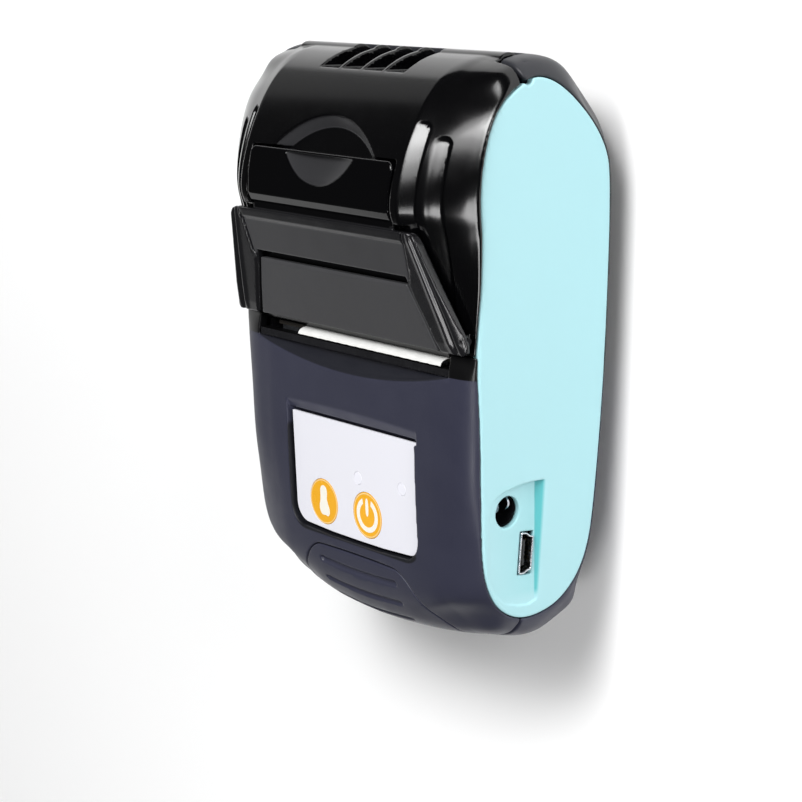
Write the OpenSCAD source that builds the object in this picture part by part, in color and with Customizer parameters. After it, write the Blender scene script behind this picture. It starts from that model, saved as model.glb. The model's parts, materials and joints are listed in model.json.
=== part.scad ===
// Portable receipt printer, lying on its flat back.
// X is the width (the socket side is +X), Y runs from the bottom end up to the
// hinge end, Z points out of the front face. Units are millimetres.

/* [Case] */
// Thickness of the coloured side panels
panel_t = 1.8; // [1.2:0.1:2.0]
// Outer face of the side panels, from the middle
panel_x = 36.25; // [36.2:0.05:36.3]
// How much further out the side panels are per millimetre towards the hinge
lean = 0.025; // [0.02:0.001:0.03]
// Height of the parting line between the front and the rear shell
parting_z = 26; // [25.6:0.1:26.4]
// Gap between covers that meet
seam = 0.2; // [0.15:0.05:0.25]

/* [Paper] */
// Outer diameter of the paper roll
roll_d = 37.6; // [20:0.2:37.6]
// Width of the paper roll
roll_w = 57; // [50:0.5:57.4]
// Outer diameter of the card core
core_d = 16; // [12:0.5:18]
// Thickness of the paper web
paper_t = 0.14; // [0.08:0.02:0.16]

/* [Print mechanism] */
// Diameter of the rubber platen
platen_d = 7.8; // [7:0.1:7.9]
// Length of the rubber platen
platen_l = 57; // [54:0.5:57.4]
// Diameter of the platen shaft
shaft_d = 3; // [2.5:0.1:3]
// Radial running clearance of the shafts
run = 0.05; // [0.02:0.01:0.08]
// Gear module
gear_m = 0.5; // [0.5:0.01:0.5]
// Teeth of the gear on the platen
n_platen = 14; // [14:1:14]
// Teeth of the idler gear
n_idler = 24; // [24:2:24]
// Teeth of the drive gear
n_drive = 28; // [28:2:28]
// Teeth of the pinion on the motor
n_pinion = 10; // [10:1:10]
// Diameter of the stepper motor
motor_d = 13; // [10:0.5:13]

/* [Lid] */
// Radius of the lid barrel at the hinge
barrel_r = 2.6; // [2.5:0.05:2.6]
// Radius of the hinge ears of the rear shell
ear_r = 2.6; // [2.4:0.05:2.6]
// Radius of the hinge pins
pin_r = 0.9; // [0.7:0.05:1.1]
// Half width of the finger tab
tab_w = 22.2; // [20:0.1:22.3]

/* [Controls and sockets] */
// Width of the label plate
label_w = 39.6; // [38:0.1:39.8]
// Height of the label plate
label_h = 22.5; // [22:0.1:22.6]
// Diameter of the two buttons
button_d = 9; // [8:0.1:9.2]
// Width of the round hole for the power plug
dc_hole_d = 5.9; // [5.6:0.1:6.2]
// Length of the window for the data plug
usb_l = 7.9; // [7.6:0.1:8.2]
// Height of the window for the data plug
usb_h = 3.4; // [3:0.1:3.6]

/* [Battery] */
// Width of the battery pack
batt_w = 43; // [40:0.2:43]
// Length of the battery pack
batt_l = 37; // [34:0.5:37]
// Thickness of the battery pack
batt_t = 13.6; // [10:0.2:13.6]

/* [Hidden] */
$fn = 64;

// the shapes are drawn about the label's centre line and then centred lengthwise
y_shift = 1.9;

// platen, gears and motor
pl = [3.4, 33.8];                       // platen axis (y, z)
mesh_a = 20;                            // lean of the idler under the platen gear
idl = pl + gear_m*(n_platen + n_idler)/2*[-sin(mesh_a), -cos(mesh_a)];
mot = [-13, 23.5];                      // motor axis
r2 = gear_m*(n_idler + n_drive)/2;      // idler to drive gear
r3 = gear_m*(n_drive + n_pinion)/2;     // drive gear to pinion
dm = idl - mot;
dl = norm(dm);
ua = (r3*r3 - r2*r2 + dl*dl)/(2*dl);
uh = sqrt(r3*r3 - ua*ua);
drv = mot + ua*dm/dl + uh*[dm[1], -dm[0]]/dl;

hinge = [50.2, 26.5];                   // lid hinge axis (y, z)
opener = [3.2, 39.5];                   // cover opener axis (y, z)
roll = [26, 22.6];                      // paper roll axis (y, z)
dc = [-29.1, 29.7];                     // power socket centre (y, z)
usb = [-37.5, 25.05];                  // data socket centre (y, z)
screw_x = 26.4;
screws = [[-44.2, 6.2], [-3, 1.9]];       // y and head depth of the two rows
feed_x = -10.7;
power_x = 3.4;
button_y = -5.65;                       // on the label plate, from its middle
label_tilt = 3.05;
gear_x0 = -33.1;                        // the gears run in one plane
gear_x1 = -31.7;

// Case form. Each row is one point of the outline in the middle of the case
// (y, z), the matching point at the side panel (y, z), the blend from one to
// the other (a row of SX and SW) and the side bulge.
K = [[-0.3, 39.5, -0.4, 37.6, 0, 0.1],
     [6, 40.9, 6, 37.6, 0, 0.5],
     [12, 42.6, 12, 37.3, 0, 0.9],
     [18, 44.3, 18.1, 37.3, 0, 1],
     [22, 45.7, 22.1, 37.4, 0, 1],
     [25, 47, 25.1, 37.7, 0, 1],
     [29, 46.7, 28.8, 37.9, 0, 1],
     [33, 45.7, 32.4, 37.7, 0, 1],
     [37, 44.3, 36, 37.1, 0, 0.9],
     [41, 42.4, 39.4, 36.2, 0, 0.8],
     [44.3, 40, 42.5, 34.8, 0, 0.6],
     [47.3, 37, 44.9, 32.8, 0, 0.4],
     [49.8, 33.3, 46.6, 30.6, 6, 0.2],
     [51.6, 29.6, 47.7, 28.6, 6, 0.1],
     [52.6, 26.5, 48.5, 27, 4, 0],
     [52.8, 23.5, 48.8, 24.8, 4, 0],
     [52.3, 18.6, 48.1, 22, 4, 0],
     [50.8, 13.6, 46.3, 18.7, 5, 0],
     [48.4, 9, 43.8, 15.6, 2, 0],
     [45, 5.2, 40.9, 12.6, 2, 0],
     [41.2, 2.3, 37.6, 10.1, 2, 0],
     [37, 0.6, 34.6, 8.6, 2, 0],
     [32.5, 0, 31.2, 7.8, 2, 0],
     [22, 0, 22.1, 7.4, 2, 0],
     [8, 0, 8, 7.4, 2, 0],
     [-8, 0, -8.1, 7.7, 2, 0],
     [-22, 0, -22.3, 8.5, 2, 0],
     [-33, 0, -33.4, 9.4, 10, 0],
     [-38.5, 0, -38.4, 10.4, 10, 0],
     [-43.4, 0.8, -41.8, 11.7, 10, 0],
     [-48.2, 3, -44.6, 13.5, 10, 0],
     [-51.9, 6.6, -47.1, 16.1, 3, 0],
     [-54.4, 11.6, -48.7, 19, 3, 0],
     [-55.9, 17.6, -49.5, 22.2, 8, 0],
     [-56.5, 23, -49.7, 24.2, 8, 0],
     [-56.6, 27, -49.6, 26, 3, 0],
     [-56.3, 30, -49.1, 28, 3, 0],
     [-55, 33, -47.7, 30.5, 7, 0],
     [-52.6, 35.2, -45.7, 32.4, 7, 0],
     [-48.8, 37, -43.2, 33.8, 9, 0],
     [-43.4, 38, -40, 34.9, 9, 0],
     [-36, 38.7, -34.4, 35.6, 9, 0],
     [-26, 39.2, -25.3, 36.1, 1, 0],
     [-16, 39.5, -15.6, 36.5, 1, 0],
     [-8, 39.7, -7.9, 37.1, 1, 0],
     [-2.5, 39.7, -2.6, 37.5, 1, 0]];
NK = len(K);
// distance from the middle and blend at nine stations, for each kind of row
SX = [[0, 12, 24.5, 27.8, 30.6, 33.4, 35.9, 37.2, 36.5],
      [0, 12, 24.5, 28, 31.5, 33.8, 35.4, 36.2, 36.5],
      [0, 12, 22, 26, 30, 33, 35, 36.2, 36.5],
      [0, 12, 22, 27, 31, 33.4, 35.2, 36.2, 36.5],
      [0, 12, 24.5, 28, 31.5, 34, 35.4, 36.2, 36.5],
      [0, 12, 23, 27, 31, 33.6, 35.2, 36.2, 36.5],
      [0, 12, 24.5, 28, 31.5, 34, 35.6, 36.4, 36.5],
      [0, 12, 20, 25, 29.5, 33, 35.2, 36.2, 36.5],
      [0, 12, 22, 27, 31.5, 34, 35.6, 36.3, 36.5],
      [0, 12, 22, 26, 30, 33, 35.2, 36.2, 36.5],
      [0, 12, 22, 26, 30, 33, 35, 36.2, 36.5]];
SW = [[0, 0, 0, 0.2, 0.37, 0.57, 0.78, 0.92, 1],
      [0, 0, 0, 0.05, 0.14, 0.3, 0.56, 0.83, 1],
      [0, 0, 0, 0.1, 0.33, 0.66, 0.85, 0.95, 1],
      [0, 0, 0.03, 0.12, 0.27, 0.45, 0.7, 0.87, 1],
      [0, 0, 0, 0, 0.02, 0.12, 0.36, 0.7, 1],
      [0, 0, 0, 0.03, 0.12, 0.32, 0.6, 0.85, 1],
      [0, 0, 0, 0.08, 0.18, 0.3, 0.55, 0.8, 1],
      [0, 0.03, 0.15, 0.32, 0.5, 0.7, 0.86, 0.95, 1],
      [0, 0, 0, 0.08, 0.2, 0.36, 0.6, 0.83, 1],
      [0, 0, 0.05, 0.16, 0.34, 0.56, 0.78, 0.92, 1],
      [0, 0, 0, 0.14, 0.44, 0.73, 0.87, 0.95, 1]];
NS = len(SX[0]);
// the sides lean in towards the bottom end: distance of the side plane at y
function side_x(y) = panel_x + lean*y;
function station_x(s, k) = let(x = SX[K[k][4]][s]) x > 36.5 ? 36.5 + (x - 36.5)*K[k][5] : x;
function crown(x, y, z) = y < -44 ? (0.001 + 0.0024*min(1, max(0, (z - 23)/8)))*pow(min(x, 26), 2)*min(1, (-44 - y)/8) : 0;
function case_pt(s, k, side) = let(w = SW[K[k][4]][s], x = station_x(s, k),
    y = (1 - w)*(K[k][0] + crown(x, K[k][0], K[k][1])) + w*K[k][2],
    xs = x + (side_x(y) - 36.5)*min(1, max(0, (x - 24.5)/12)))
    [side*xs, y, (1 - w)*K[k][1] + w*K[k][3]];
RINGS = concat([for (s = [NS-1:-1:0]) [1, s]], [for (s = [1:NS-1]) [-1, s]]);
NR = len(RINGS);
CASE_P = concat([for (r = RINGS) for (k = [0:NK-1]) case_pt(r[1], k, r[0])], [[side_x(0), 0, 22], [-side_x(0), 0, 22]]);
CASE_F = concat(
    [for (k = [0:NK-1]) [k, (k+1) % NK, NR*NK]],
    [for (k = [0:NK-1]) [(NR-1)*NK + (k+1) % NK, (NR-1)*NK + k, NR*NK + 1]],
    [for (r = [0:NR-2]) for (k = [0:NK-1]) let(n = (k+1) % NK) [r*NK + n, r*NK + k, (r+1)*NK + n]],
    [for (r = [0:NR-2]) for (k = [0:NK-1]) let(n = (k+1) % NK) [(r+1)*NK + n, r*NK + k, (r+1)*NK + k]]);

// outline of the side panel, moved inward by d
function side_pt(k, d) = let(a = K[(k + NK - 1) % NK], b = K[(k + 1) % NK], t = [b[2] - a[2], b[3] - a[3]], n = norm(t))
    [K[k][2] - d*t[1]/n*-1, K[k][3] - d*t[0]/n];
function side_outline(d) = [for (k = [0:NK-1]) side_pt(k, d)];

module case_form() polyhedron(CASE_P, CASE_F, convexity = 6);
// a (y, z) outline from x0 to x1
module yz(x0, x1, p) translate([x0, 0, 0]) rotate([90, 0, 90]) linear_extrude(x1 - x0) polygon(p);
// an (x, z) outline from y0 to y1
module xz(y0, y1, p) translate([0, y1, 0]) rotate([90, 0, 0]) linear_extrude(y1 - y0) polygon(p);
// a round bar along X at c = (y, z)
module xbar(c, r, x0, x1) translate([x0, c[0], c[1]]) rotate([0, 90, 0]) cylinder(r = r, h = x1 - x0);
module box(a, b) translate(a) cube(b - a);
// the plane of a side panel: x counts across it, from the middle
module on_side() translate([panel_x*(1 - cos(atan(lean))), panel_x*sin(atan(lean)), 0]) rotate([0, 0, -atan(lean)]) children();
module both() { children(); mirror([1, 0, 0]) children(); }
module place() translate([0, y_shift, 0]) children();
module on_label() translate([0, -29.15, 38]) rotate([label_tilt, 0, 0]) children();

// hollow inside the case, in steps that follow its rounded back
module case_hollow() {
    yz(-21.6, 21.6, [[-5, 1.8], [36, 1.8], [41, 4], [45, 7], [48, 10.8], [50.2, 15.6], [51, 22], [51, 40], [-4.3, 40], [-4.3, 36.4], [-12, 35.8],
        [-42, 35.4], [-46.8, 34.2], [-50.2, 31.8], [-52.4, 28.6], [-53, 26], [-53, 21], [-52, 15.2], [-49.8, 9.4], [-47, 5.8], [-42, 3], [-38, 1.8]]);
    both() yz(21, 27.4, [[-5, 3.3], [35, 3.3], [40, 5.4], [44, 8.4], [47, 12], [49.2, 16.6], [50.2, 22], [50.2, 40], [-4.3, 40], [-4.3, 36.4], [-12, 35.8],
        [-42, 35], [-46.4, 33.4], [-49.2, 31], [-50.8, 28], [-51, 22], [-49.8, 16], [-47.6, 10.8], [-44.8, 7], [-40, 4.6], [-34, 3.6]]);
    both() yz(27, 30.6, [[-5, 5], [34, 5], [39, 7.2], [43, 10.4], [46, 14.4], [48, 18.6], [48.8, 22], [48.8, 40], [-4.3, 40], [-4.3, 36.4], [-12, 35.6],
        [-38, 34.8], [-43.4, 33], [-46.6, 30.8], [-48.6, 28], [-49, 24], [-48.4, 18.6], [-46, 13.2], [-43, 9.8], [-38, 7.4], [-32, 6.2]]);
    both() on_side() yz(30.2, 33.2, [[-5, 7.2], [31, 7.2], [36, 8.2], [40, 10.6], [43.4, 14], [46, 18], [47, 22], [47, 40], [-0.3, 40], [-0.3, 37.7], [-12, 35.2],
        [-38, 34], [-42.6, 32.6], [-45.4, 30.4], [-47, 27.4], [-47.4, 23.4], [-46.4, 18.8], [-44, 15], [-40.6, 12.4], [-36, 10.6], [-20, 9]]);
}
// window in the side wall behind the sockets
module socket_window() box([31.2, -46.2, 21.4], [35.6, -24.8, 33.4]);

// front shell, from the bottom end up to the paper slot
module front_shell() color("#3a3c4c") difference() {
    union() {
        difference() {
            intersection() {
                case_form();
                yz(-45, 45, [[-60, parting_z + seam/2], [47, parting_z + seam/2], [46.9, 28.9], [45.4, 31.5], [43, 33.9], [40, 35.6],
                    [36.5, 36.7], [33, 37.4], [29, 37.6], [25, 37.4], [22, 37.1], [18, 37], [12, 37.1], [6, 37.4], [0.1, 37.5], [-0.3, 60], [-60, 60]]);
            }
            case_hollow();
        }
        // screw posts and the ledge that carries the tear bar
        both() intersection() {
            case_form();
            translate([screw_x, screws[0][0], parting_z + 0.1]) cylinder(r = 2.4, h = 9.4);
        }
    }
    // seats of the two side panels
    both() on_side() yz(panel_x - panel_t - 0.1, 45, side_outline(-0.12));
    // paper slot and the shallow hollow under the tear bar
    box([-30, -4.15, 20], [30, 5, 60]);
    intersection() {
        translate([0, -8.3 + 104.7, 38.25]) cylinder(r = 104.7, h = 10, $fn = 180);
        box([-29.9, -9, 38.2], [29.9, -4, 60]);
    }
    // recess for the label plate, with a slanted upper edge
    on_label() translate([0, 0, -0.55]) linear_extrude(6) label_outline(0.12);
    yz(-20.4, 20.4, [[-17.9, 38.05], [-15.3, 39.7], [-15.3, 43], [-17.9, 43]]);
    // button guides, light windows
    for (x = [feed_x, power_x]) on_label() translate([x, button_y, -8]) cylinder(r = button_d/2 + 0.08, h = 12);
    for (p = [[0.9, 1.2], [14.6, 1.6]]) on_label() translate([p[0], p[1], -8]) cylinder(r = 1.26, h = 12);
    // opening for the battery door's grip
    door_cut(0.15);
    both() translate([screw_x, screws[0][0], 20]) cylinder(r = 0.98, h = 12.5);
    // seat of the tear bar's foot
    box([-28, -8.6, 36.85], [28, -4, 37.4]);
    socket_window();
    // clearance for the gears and the hinge
    box([-33.4, -17.4, 20], [-31.5, 8, 36.9]);
    both() xbar(hinge, ear_r + 0.3, 30.8, 40);
}

// label outline: sharp top corners, round bottom corners, bottom edge bowed down
module label_outline(g) {
    w = label_w/2 + g; t = label_h/2 + g; r = 3.75;
    polygon(concat([[w, t], [-w, t]],
        [for (a = [180:15:262]) [-w + r + r*cos(a), -t + 0.4 + r + r*sin(a)]],
        [[-8, -t + 0.05], [0, -t], [8, -t + 0.05]],
        [for (a = [278:15:360]) [w - r + r*cos(a), -t + 0.4 + r + r*sin(a)]]));
}

// plan of the grip on the front, with its sides moved out by g
module grip_plan(g) polygon([for (p = [[-11.6, -43.2 + g], [11.6, -43.2 + g], [13.6 + g, -43.8], [15.6 + g, -45.2], [17.4 + g, -47.4],
    [19.2 + g, -50], [21, -52.4], [22.3 + g, -54], [22.3 + g, -60], [-22.3 - g, -60], [-22.3 - g, -54], [-21, -52.4], [-19.2 - g, -50],
    [-17.4 - g, -47.4], [-15.6 - g, -45.2], [-13.6 - g, -43.8]]) p]);
module door_cut(g) {
    translate([0, 0, 24]) linear_extrude(30) grip_plan(g);
    box([-22.3 - g, -60, -5], [22.3 + g, -49.4, 30]);
    box([-22.3 - g, -60, -5], [22.3 + g, -6 + g, 1.85]);
    box([-22.3 - g, -60, -5], [22.3 + g, -42 + g, 8]);
    box([-23.5 - g, -52, 0.7 - g/2], [23.5 + g, -7 + g, 1.85]);
}

// battery door: back plate on rails, end wall and ribbed front grip in one piece
module battery_door() color("#3a3c4c") difference() {
    union() {
        intersection() {
            case_form();
            union() {
                translate([0, 0, 24]) linear_extrude(30) grip_plan(0);
                box([-22.3, -60, -5], [22.3, -49.4, 30]);
                box([-22.3, -60, -5], [22.3, -6, 1.65]);
                box([-22.3, -60, -5], [22.3, -42, 8]);
            }
        }
        box([-23.4, -42, 0.85], [23.4, -7, 1.65]);
    }
    yz(-30, 30, [[10, 1.65], [-42.8, 1.65], [-45.6, 2.5], [-48.8, 5], [-51.4, 9], [-53.2, 14.4], [-54.1, 20.4], [-54.2, 26], [-53.2, 29.2],
        [-51, 31.6], [-48.6, 33.2], [-45.8, 34.4], [-42.8, 35.2], [-30, 35.6], [10, 35.6]]);
    // grip grooves
    for (p = [[-47.3, 37.6], [-51.5, 35.9], [-55.2, 32.8]]) xbar(p, 0.55, -11.6, 11.6);
}

// rear shell with the roll bin, the hinge ears and the screw posts
module rear_shell() color("#2c2e38") difference() {
    union() {
        difference() {
            intersection() {
                case_form();
                yz(-45, 45, [[-60, -1], [60, -1], [60, 23.3], [50.2, 23.3], [47.9, parting_z - seam/2], [-60, parting_z - seam/2]]);
            }
            case_hollow();
            box([-31, 45, 23.3], [31, 60, 30]);
        }
        // cheeks of the roll bin and the bulkhead below it
        both() yz(29.4, 30.6, [[10, 4.4], [36, 5.4], [41, 8.6], [45, 13], [47, 18], [47.2, 22], [40, 32], [22, 33], [12, 28], [10, 22]]);
        box([-21.8, -6.4, 1.5], [21.8, -5.2, 13]);
        // posts
        both() intersection() {
            case_form();
            union() {
                translate([screw_x, screws[0][0], 2]) cylinder(r = 2.6, h = parting_z - 2.1);
                translate([screw_x, screws[1][0], 2]) cylinder(r = 2.4, h = 16.9);
            }
        }
        // hinge ears, flush with the outside of the case
        both() intersection() {
            case_form();
            union() {
                xbar(hinge, ear_r, 31.1, 40);
                box([31.1, 47.6, 18], [40, 60, hinge[1]]);
            }
        }
    }
    both() difference() {
        on_side() yz(panel_x - panel_t - 0.1, 45, side_outline(-0.12));
        xbar(hinge, ear_r, 31, 40);
    }
    both() xbar(hinge, pin_r + 0.02, 30, 35.4);
    xbar(hinge, barrel_r + 0.3, -31, 31);
    door_cut(0.15);
    // room for the paper roll
    xbar(roll, roll_d/2 + 0.3, -28.8, 28.8);
    // battery bay opening behind the door
    box([-22, -50, 1], [22, -6.6, 4]);
    // screw holes and head recesses
    for (p = screws) both() { translate([screw_x, p[0], -2]) cylinder(r = 2.1, h = p[1] + 3.3); translate([screw_x, p[0], 0]) cylinder(r = 0.98, h = 30); }
    socket_window();
    // room for the drive gear at the left wall
    box([-33.4, -17.4, 7.3], [-31.5, 0.2, 30]);
    both() xbar(hinge, barrel_r + 0.2, 30.9, 31.1);
}

// coloured side panels
module side_blank() difference() {
    on_side() yz(panel_x - panel_t, panel_x, side_outline(0.05));
    xbar(hinge, ear_r + 0.2, 30, 40);
}
module side_panel_right() color("#bfeef2") difference() {
    side_blank();
    // recess around the sockets, deepest at its upper rear corner
    on_side() yz(panel_x - 1, 40, [[-24.5, 20.9], [-24.5, 32.3], [-44.9, 31.3], [-46.6, 28.7], [-47.2, 26], [-46.4, 22.6], [-45.2, 21.3]]);
    xbar(dc, dc_hole_d/2, 30, 40);
    translate([30, usb[0], usb[1]]) rotate([-4.5, 0, 0]) translate([0, -usb_l/2, -usb_h/2]) cube([10, usb_l, usb_h]);
}
module side_panel_left() color("#bfeef2") mirror([1, 0, 0]) side_blank();

// gloss lid over the paper roll
frame_k = 0.294;                        // slope of the opener's face
function face_z(y) = 40.06 + frame_k*y;
module lid_zone() yz(-45, 45, [[0.3, 37.9], [6, 37.9], [12, 37.6], [18, 37.5], [22, 37.6], [25, 37.9], [28.9, 38.1], [32.6, 37.9], [36.2, 37.3],
    [39.6, 36.4], [42.7, 35], [45.2, 33], [46.9, 30.8], [47.4, 29.6], [60, 29.6], [60, 60], [0.3, 60]]);
module paper_lid() color("#101012") difference() {
    union() {
        difference() {
            union() {
                intersection() { case_form(); lid_zone(); }
                intersection() { case_form(); yz(-30.7, 30.7, [[46.8, 29.7], [48.2, 26.5], [60, 26.5], [60, 29.7]]); }
            }
            // room for the roll and the mechanism
            yz(-30.4, 30.4, [[8.4, 20], [8.4, 38.9], [14, 40.2], [20, 41.8], [33, 41.8], [38, 39.4], [42, 36.8], [45.6, 33.4], [48, 30.6], [48.4, 29], [48, 27], [47, 20]]);
            both() yz(30, 33.2, [[7, 20], [7, 36.9], [14, 37.9], [30, 38.6], [35, 37.2], [39.4, 34.6], [42.8, 31], [43.6, 20]]);
            box([-33.2, -1, 20], [33.2, 9, 36.9]);
            yz(-29, 29, [[0.29, 36.9], [0.29, 30], [8.5, 30], [8.5, 37.4], [7, 38.2], [2, 38.2]]);
        }
        // barrel of the hinge
        xbar(hinge, barrel_r, -30.7, 30.7);
        // ears for the opener's pins
        both() intersection() { case_ear(); box([33.9, 1, 37.9], [34.9, 6, 41]); }
    }
    // seat of the opener frame and the inset panel
    difference() {
        yz(-37, 37, [[-1, face_z(-1) - 1.75], [22.9, face_z(22.9) - 1.75], [22.9, 60], [-1, 60]]);
        both() opener_side(0.25);
        both() { box([33.9, 1, 30], [34.9, 5.4, 39.3]); xbar(opener, 1, 33.9, 34.9); }
    }
    // seat of the tab and the thumb scoop behind it
    box([-tab_w - 0.3, 22.6, 44.85], [tab_w + 0.3, 34.3, 60]);
    intersection() {
        translate([0, 17.6, 42.9]) cylinder(r = 23, h = 20, $fn = 120);
        box([-17, 33, 42.9], [17, 42, 60]);
    }
    // vent slots
    for (i = [-1.5:1:1.5]) box([i*7 - 2.9, 48.6, 30], [i*7 + 2.9, 56, 36.6]);
    // ear pockets, pin bores
    both() xbar(hinge, ear_r + 0.45, 30.9, 40);
    both() xbar(hinge, pin_r + run, 26.5, 31);
    both() xbar(opener, 0.62, 33, 36);
    // room for the pin lugs of the opener
    both() { xbar(opener, 1.3, 32.2, 33.8); xbar(opener, 1.3, 35, 36.2); }
    // pocket of the opener spring
    box([-6.2, 12.6, 41], [6.2, 21.6, face_z(12.6) - 1.7]);
}
// small round ears that carry the opener's pins
module case_ear() union() { xbar(opener, 1, 33.9, 34.9); box([33.9, opener[0] - 1, 37.9], [34.9, opener[0] + 1, opener[1]]); }
// the part of the lid beside the opener frame
module opener_side(g) translate([0, 0, 20]) linear_extrude(40)
    polygon([[37.2 + g, -1], [37.2 + g, 0.4], [36.5 + g, 1.6], [35.8 + g, 4], [32.4 + g, 12.6], [30 + g, 18.8], [29.4 + g, 23.2], [50, 23.2], [50, -1]]);

// dark inset panel inside the frame
module lid_inset_panel() color("#46484e")
    intersection() {
        yz(-30, 30, [[0.45, face_z(0.45) - 1.7], [12.1, face_z(12.1) - 1.7], [12.1, face_z(12.1) - 0.1], [0.45, face_z(0.45) - 0.1]]);
        translate([0, 0, 30]) linear_extrude(20) polygon([[-27.7, 0.4], [27.7, 0.4], [27.3, 2], [25.6, 6.2], [25, 9], [24.6, 12.3], [-24.6, 12.3], [-25, 9], [-25.6, 6.2], [-27.3, 2]]);
    }

// cover opener: band, two arms and finger tab, pulled up to free the lid
module cover_opener() color("#141416") difference() {
    union() {
        intersection() {
            yz(-40, 40, [[0.5, face_z(0.5) - 0.95], [1.6, face_z(1.6) - 1.15], [3.6, face_z(3.6) - 1.45], [23.4, face_z(23.4) - 1.5], [23.4, face_z(21.9)], [21.9, face_z(21.9)], [0.5, face_z(0.5)]]);
            translate([0, 0, 30]) linear_extrude(30) difference() {
                polygon([[-36.6, 0.5], [-35.8, 4], [-32.4, 12.6], [-30, 18.8], [-29.2, 22], [-28, 22.7], [28, 22.7], [29.2, 22], [30, 18.8], [32.4, 12.6], [35.8, 4], [36.6, 0.5]]);
                polygon([[-28.6, -1], [-28.4, 0.4], [-27.4, 3.6], [-25.9, 8], [-25.3, 13.6], [25.3, 13.6], [25.9, 8], [27.4, 3.6], [28.4, 0.4], [28.6, -1]]);
            }
        }
        // finger tab
        yz(-tab_w, tab_w, [[21, 45.15], [34, 45.15], [34, 46.1], [33.4, 46.4], [25, 46.95], [23.8, 46.3], [21, 45.9]]);
        // round pin lugs
        both() xbar(opener, 1.05, 32.4, 33.6);
        both() xbar(opener, 1.05, 35.2, 36);
    }
    // half-moon finger notch
    translate([0, 34.6, 43]) cylinder(r = 6.6, h = 6, $fn = 80);
    both() xbar(opener, 0.6 + run, 32, 36.9);
    both() xbar(opener, 1.25, 33.65, 35.15);
    both() box([33.65, -1, 37], [35.15, 5.6, face_z(0) - 0.1]);
    both() box([33.65, 1.9, 37], [35.15, 5, face_z(1.6) - 0.35]);
}
module opener_pins() color("#b8bcc2") both() xbar(opener, 0.6, 32.6, 35.9);
// leaf spring that pushes the opener shut
module opener_spring() color("#c8ccd2") union() {
    box([-5.8, 13, 41.1], [5.8, 21.2, 41.4]);
    box([-5.8, 13, 41.1], [5.8, 13.6, 41.9]);
}

// steel pins of the lid hinge
module lid_hinge_pins() color("#c4c8ce") both() xbar(hinge, pin_r, 27, 35.3);

// plates under the lid that hold the platen
module platen_brackets() color("#2a2c30") both() difference() {
    yz(29.2, 30.4, [[0.4, 36.8], [0.2, 32], [1.6, 30.2], [5.2, 30.2], [6.8, 32], [8.2, 36.8]]);
    xbar(pl, 3 + 0.01, 29, 31);
}
module platen_bushes() color("#d8d4c4") both() difference() {
    xbar(pl, 3, 29.2, 30.5);
    xbar(pl, shaft_d/2 + run, 29, 31);
}
module platen_shaft() color("#c4c8ce") difference() {
    xbar(pl, shaft_d/2, -33.25, 32.4);
    // flat that drives the gear
    box([-34, pl[0] - 3, pl[1] + 1.1], [gear_x1 + 0.05, pl[0] + 3, pl[1] + 3]);
}
module platen_rubber() color("#26272a") difference() {
    xbar(pl, platen_d/2, -platen_l/2, platen_l/2);
    xbar(pl, shaft_d/2, -40, 40);
}

// straight-flanked spur gear; rot turns its first tooth from +Y towards +Z
module gear(c, n, rot, bore) difference() {
    pr = gear_m*n/2; p = 360/n;
    translate([gear_x0, c[0], c[1]]) rotate([90, 0, 90]) linear_extrude(gear_x1 - gear_x0)
        polygon([for (i = [0:n-1]) for (q = [[-0.27, pr - 1.2*gear_m], [-0.105, pr + 0.8*gear_m], [0.105, pr + 0.8*gear_m], [0.27, pr - 1.2*gear_m]])
            [q[1]*cos(rot + (i + q[0])*p), q[1]*sin(rot + (i + q[0])*p)]]);
    xbar(c, bore, -40, -30);
}
// first-tooth angle of gear b that meshes with gear a along direction th
function mesh_rot(ra, na, nb, th) = th + 180 - (0.5 - (th - ra)*na/360)*360/nb;
th1 = atan2(idl[1] - pl[1], idl[0] - pl[0]);
th2 = atan2(drv[1] - idl[1], drv[0] - idl[0]);
th3 = atan2(mot[1] - drv[1], mot[0] - drv[0]);
rot_i = mesh_rot(90, n_platen, n_idler, th1);
rot_d = mesh_rot(rot_i, n_idler, n_drive, th2);
rot_p = mesh_rot(rot_d, n_drive, n_pinion, th3);
module platen_gear() color("#f0ede2") difference() {
    gear(pl, n_platen, 90, 0.1);
    difference() {
        xbar(pl, shaft_d/2, -40, -30);
        box([-41, pl[0] - 3, pl[1] + 1.1], [-29, pl[0] + 3, pl[1] + 3]);
    }
}
module idler_gear() color("#f0ede2") gear(idl, n_idler, rot_i, 1 + run);
module drive_gear() color("#f0ede2") difference() {
    gear(drv, n_drive, rot_d, 1 + run);
    for (a = [0:72:359]) xbar(drv + 4*[cos(a), sin(a)], 1.1, -40, -30);
}
module motor_pinion() color("#d6b26a") union() {
    gear(mot, n_pinion, rot_p, 0.2);
    xbar(mot, 0.75, -33.1, -26);
}
module gear_axles() color("#c4c8ce") for (c = [idl, drv]) union() {
    xbar(c, 1, -33.15, -30.8);
    xbar(c, 1.6, -31.68, -31.52);
}
module stepper_motor() color("#9aa0a6") difference() {
    union() {
        xbar(mot, motor_d/2, -30.65, -20.6);
        yz(-30.65, -29.9, [[mot[0] - 8.5, mot[1] - 2], [mot[0] + 8.5, mot[1] - 2], [mot[0] + 8.5, mot[1] + 2], [mot[0] - 8.5, mot[1] + 2]]);
        xbar(mot, 2, -31.4, -30.6);
    }
    xbar(mot, 0.75 + run, -32, -25.5);
}
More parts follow.
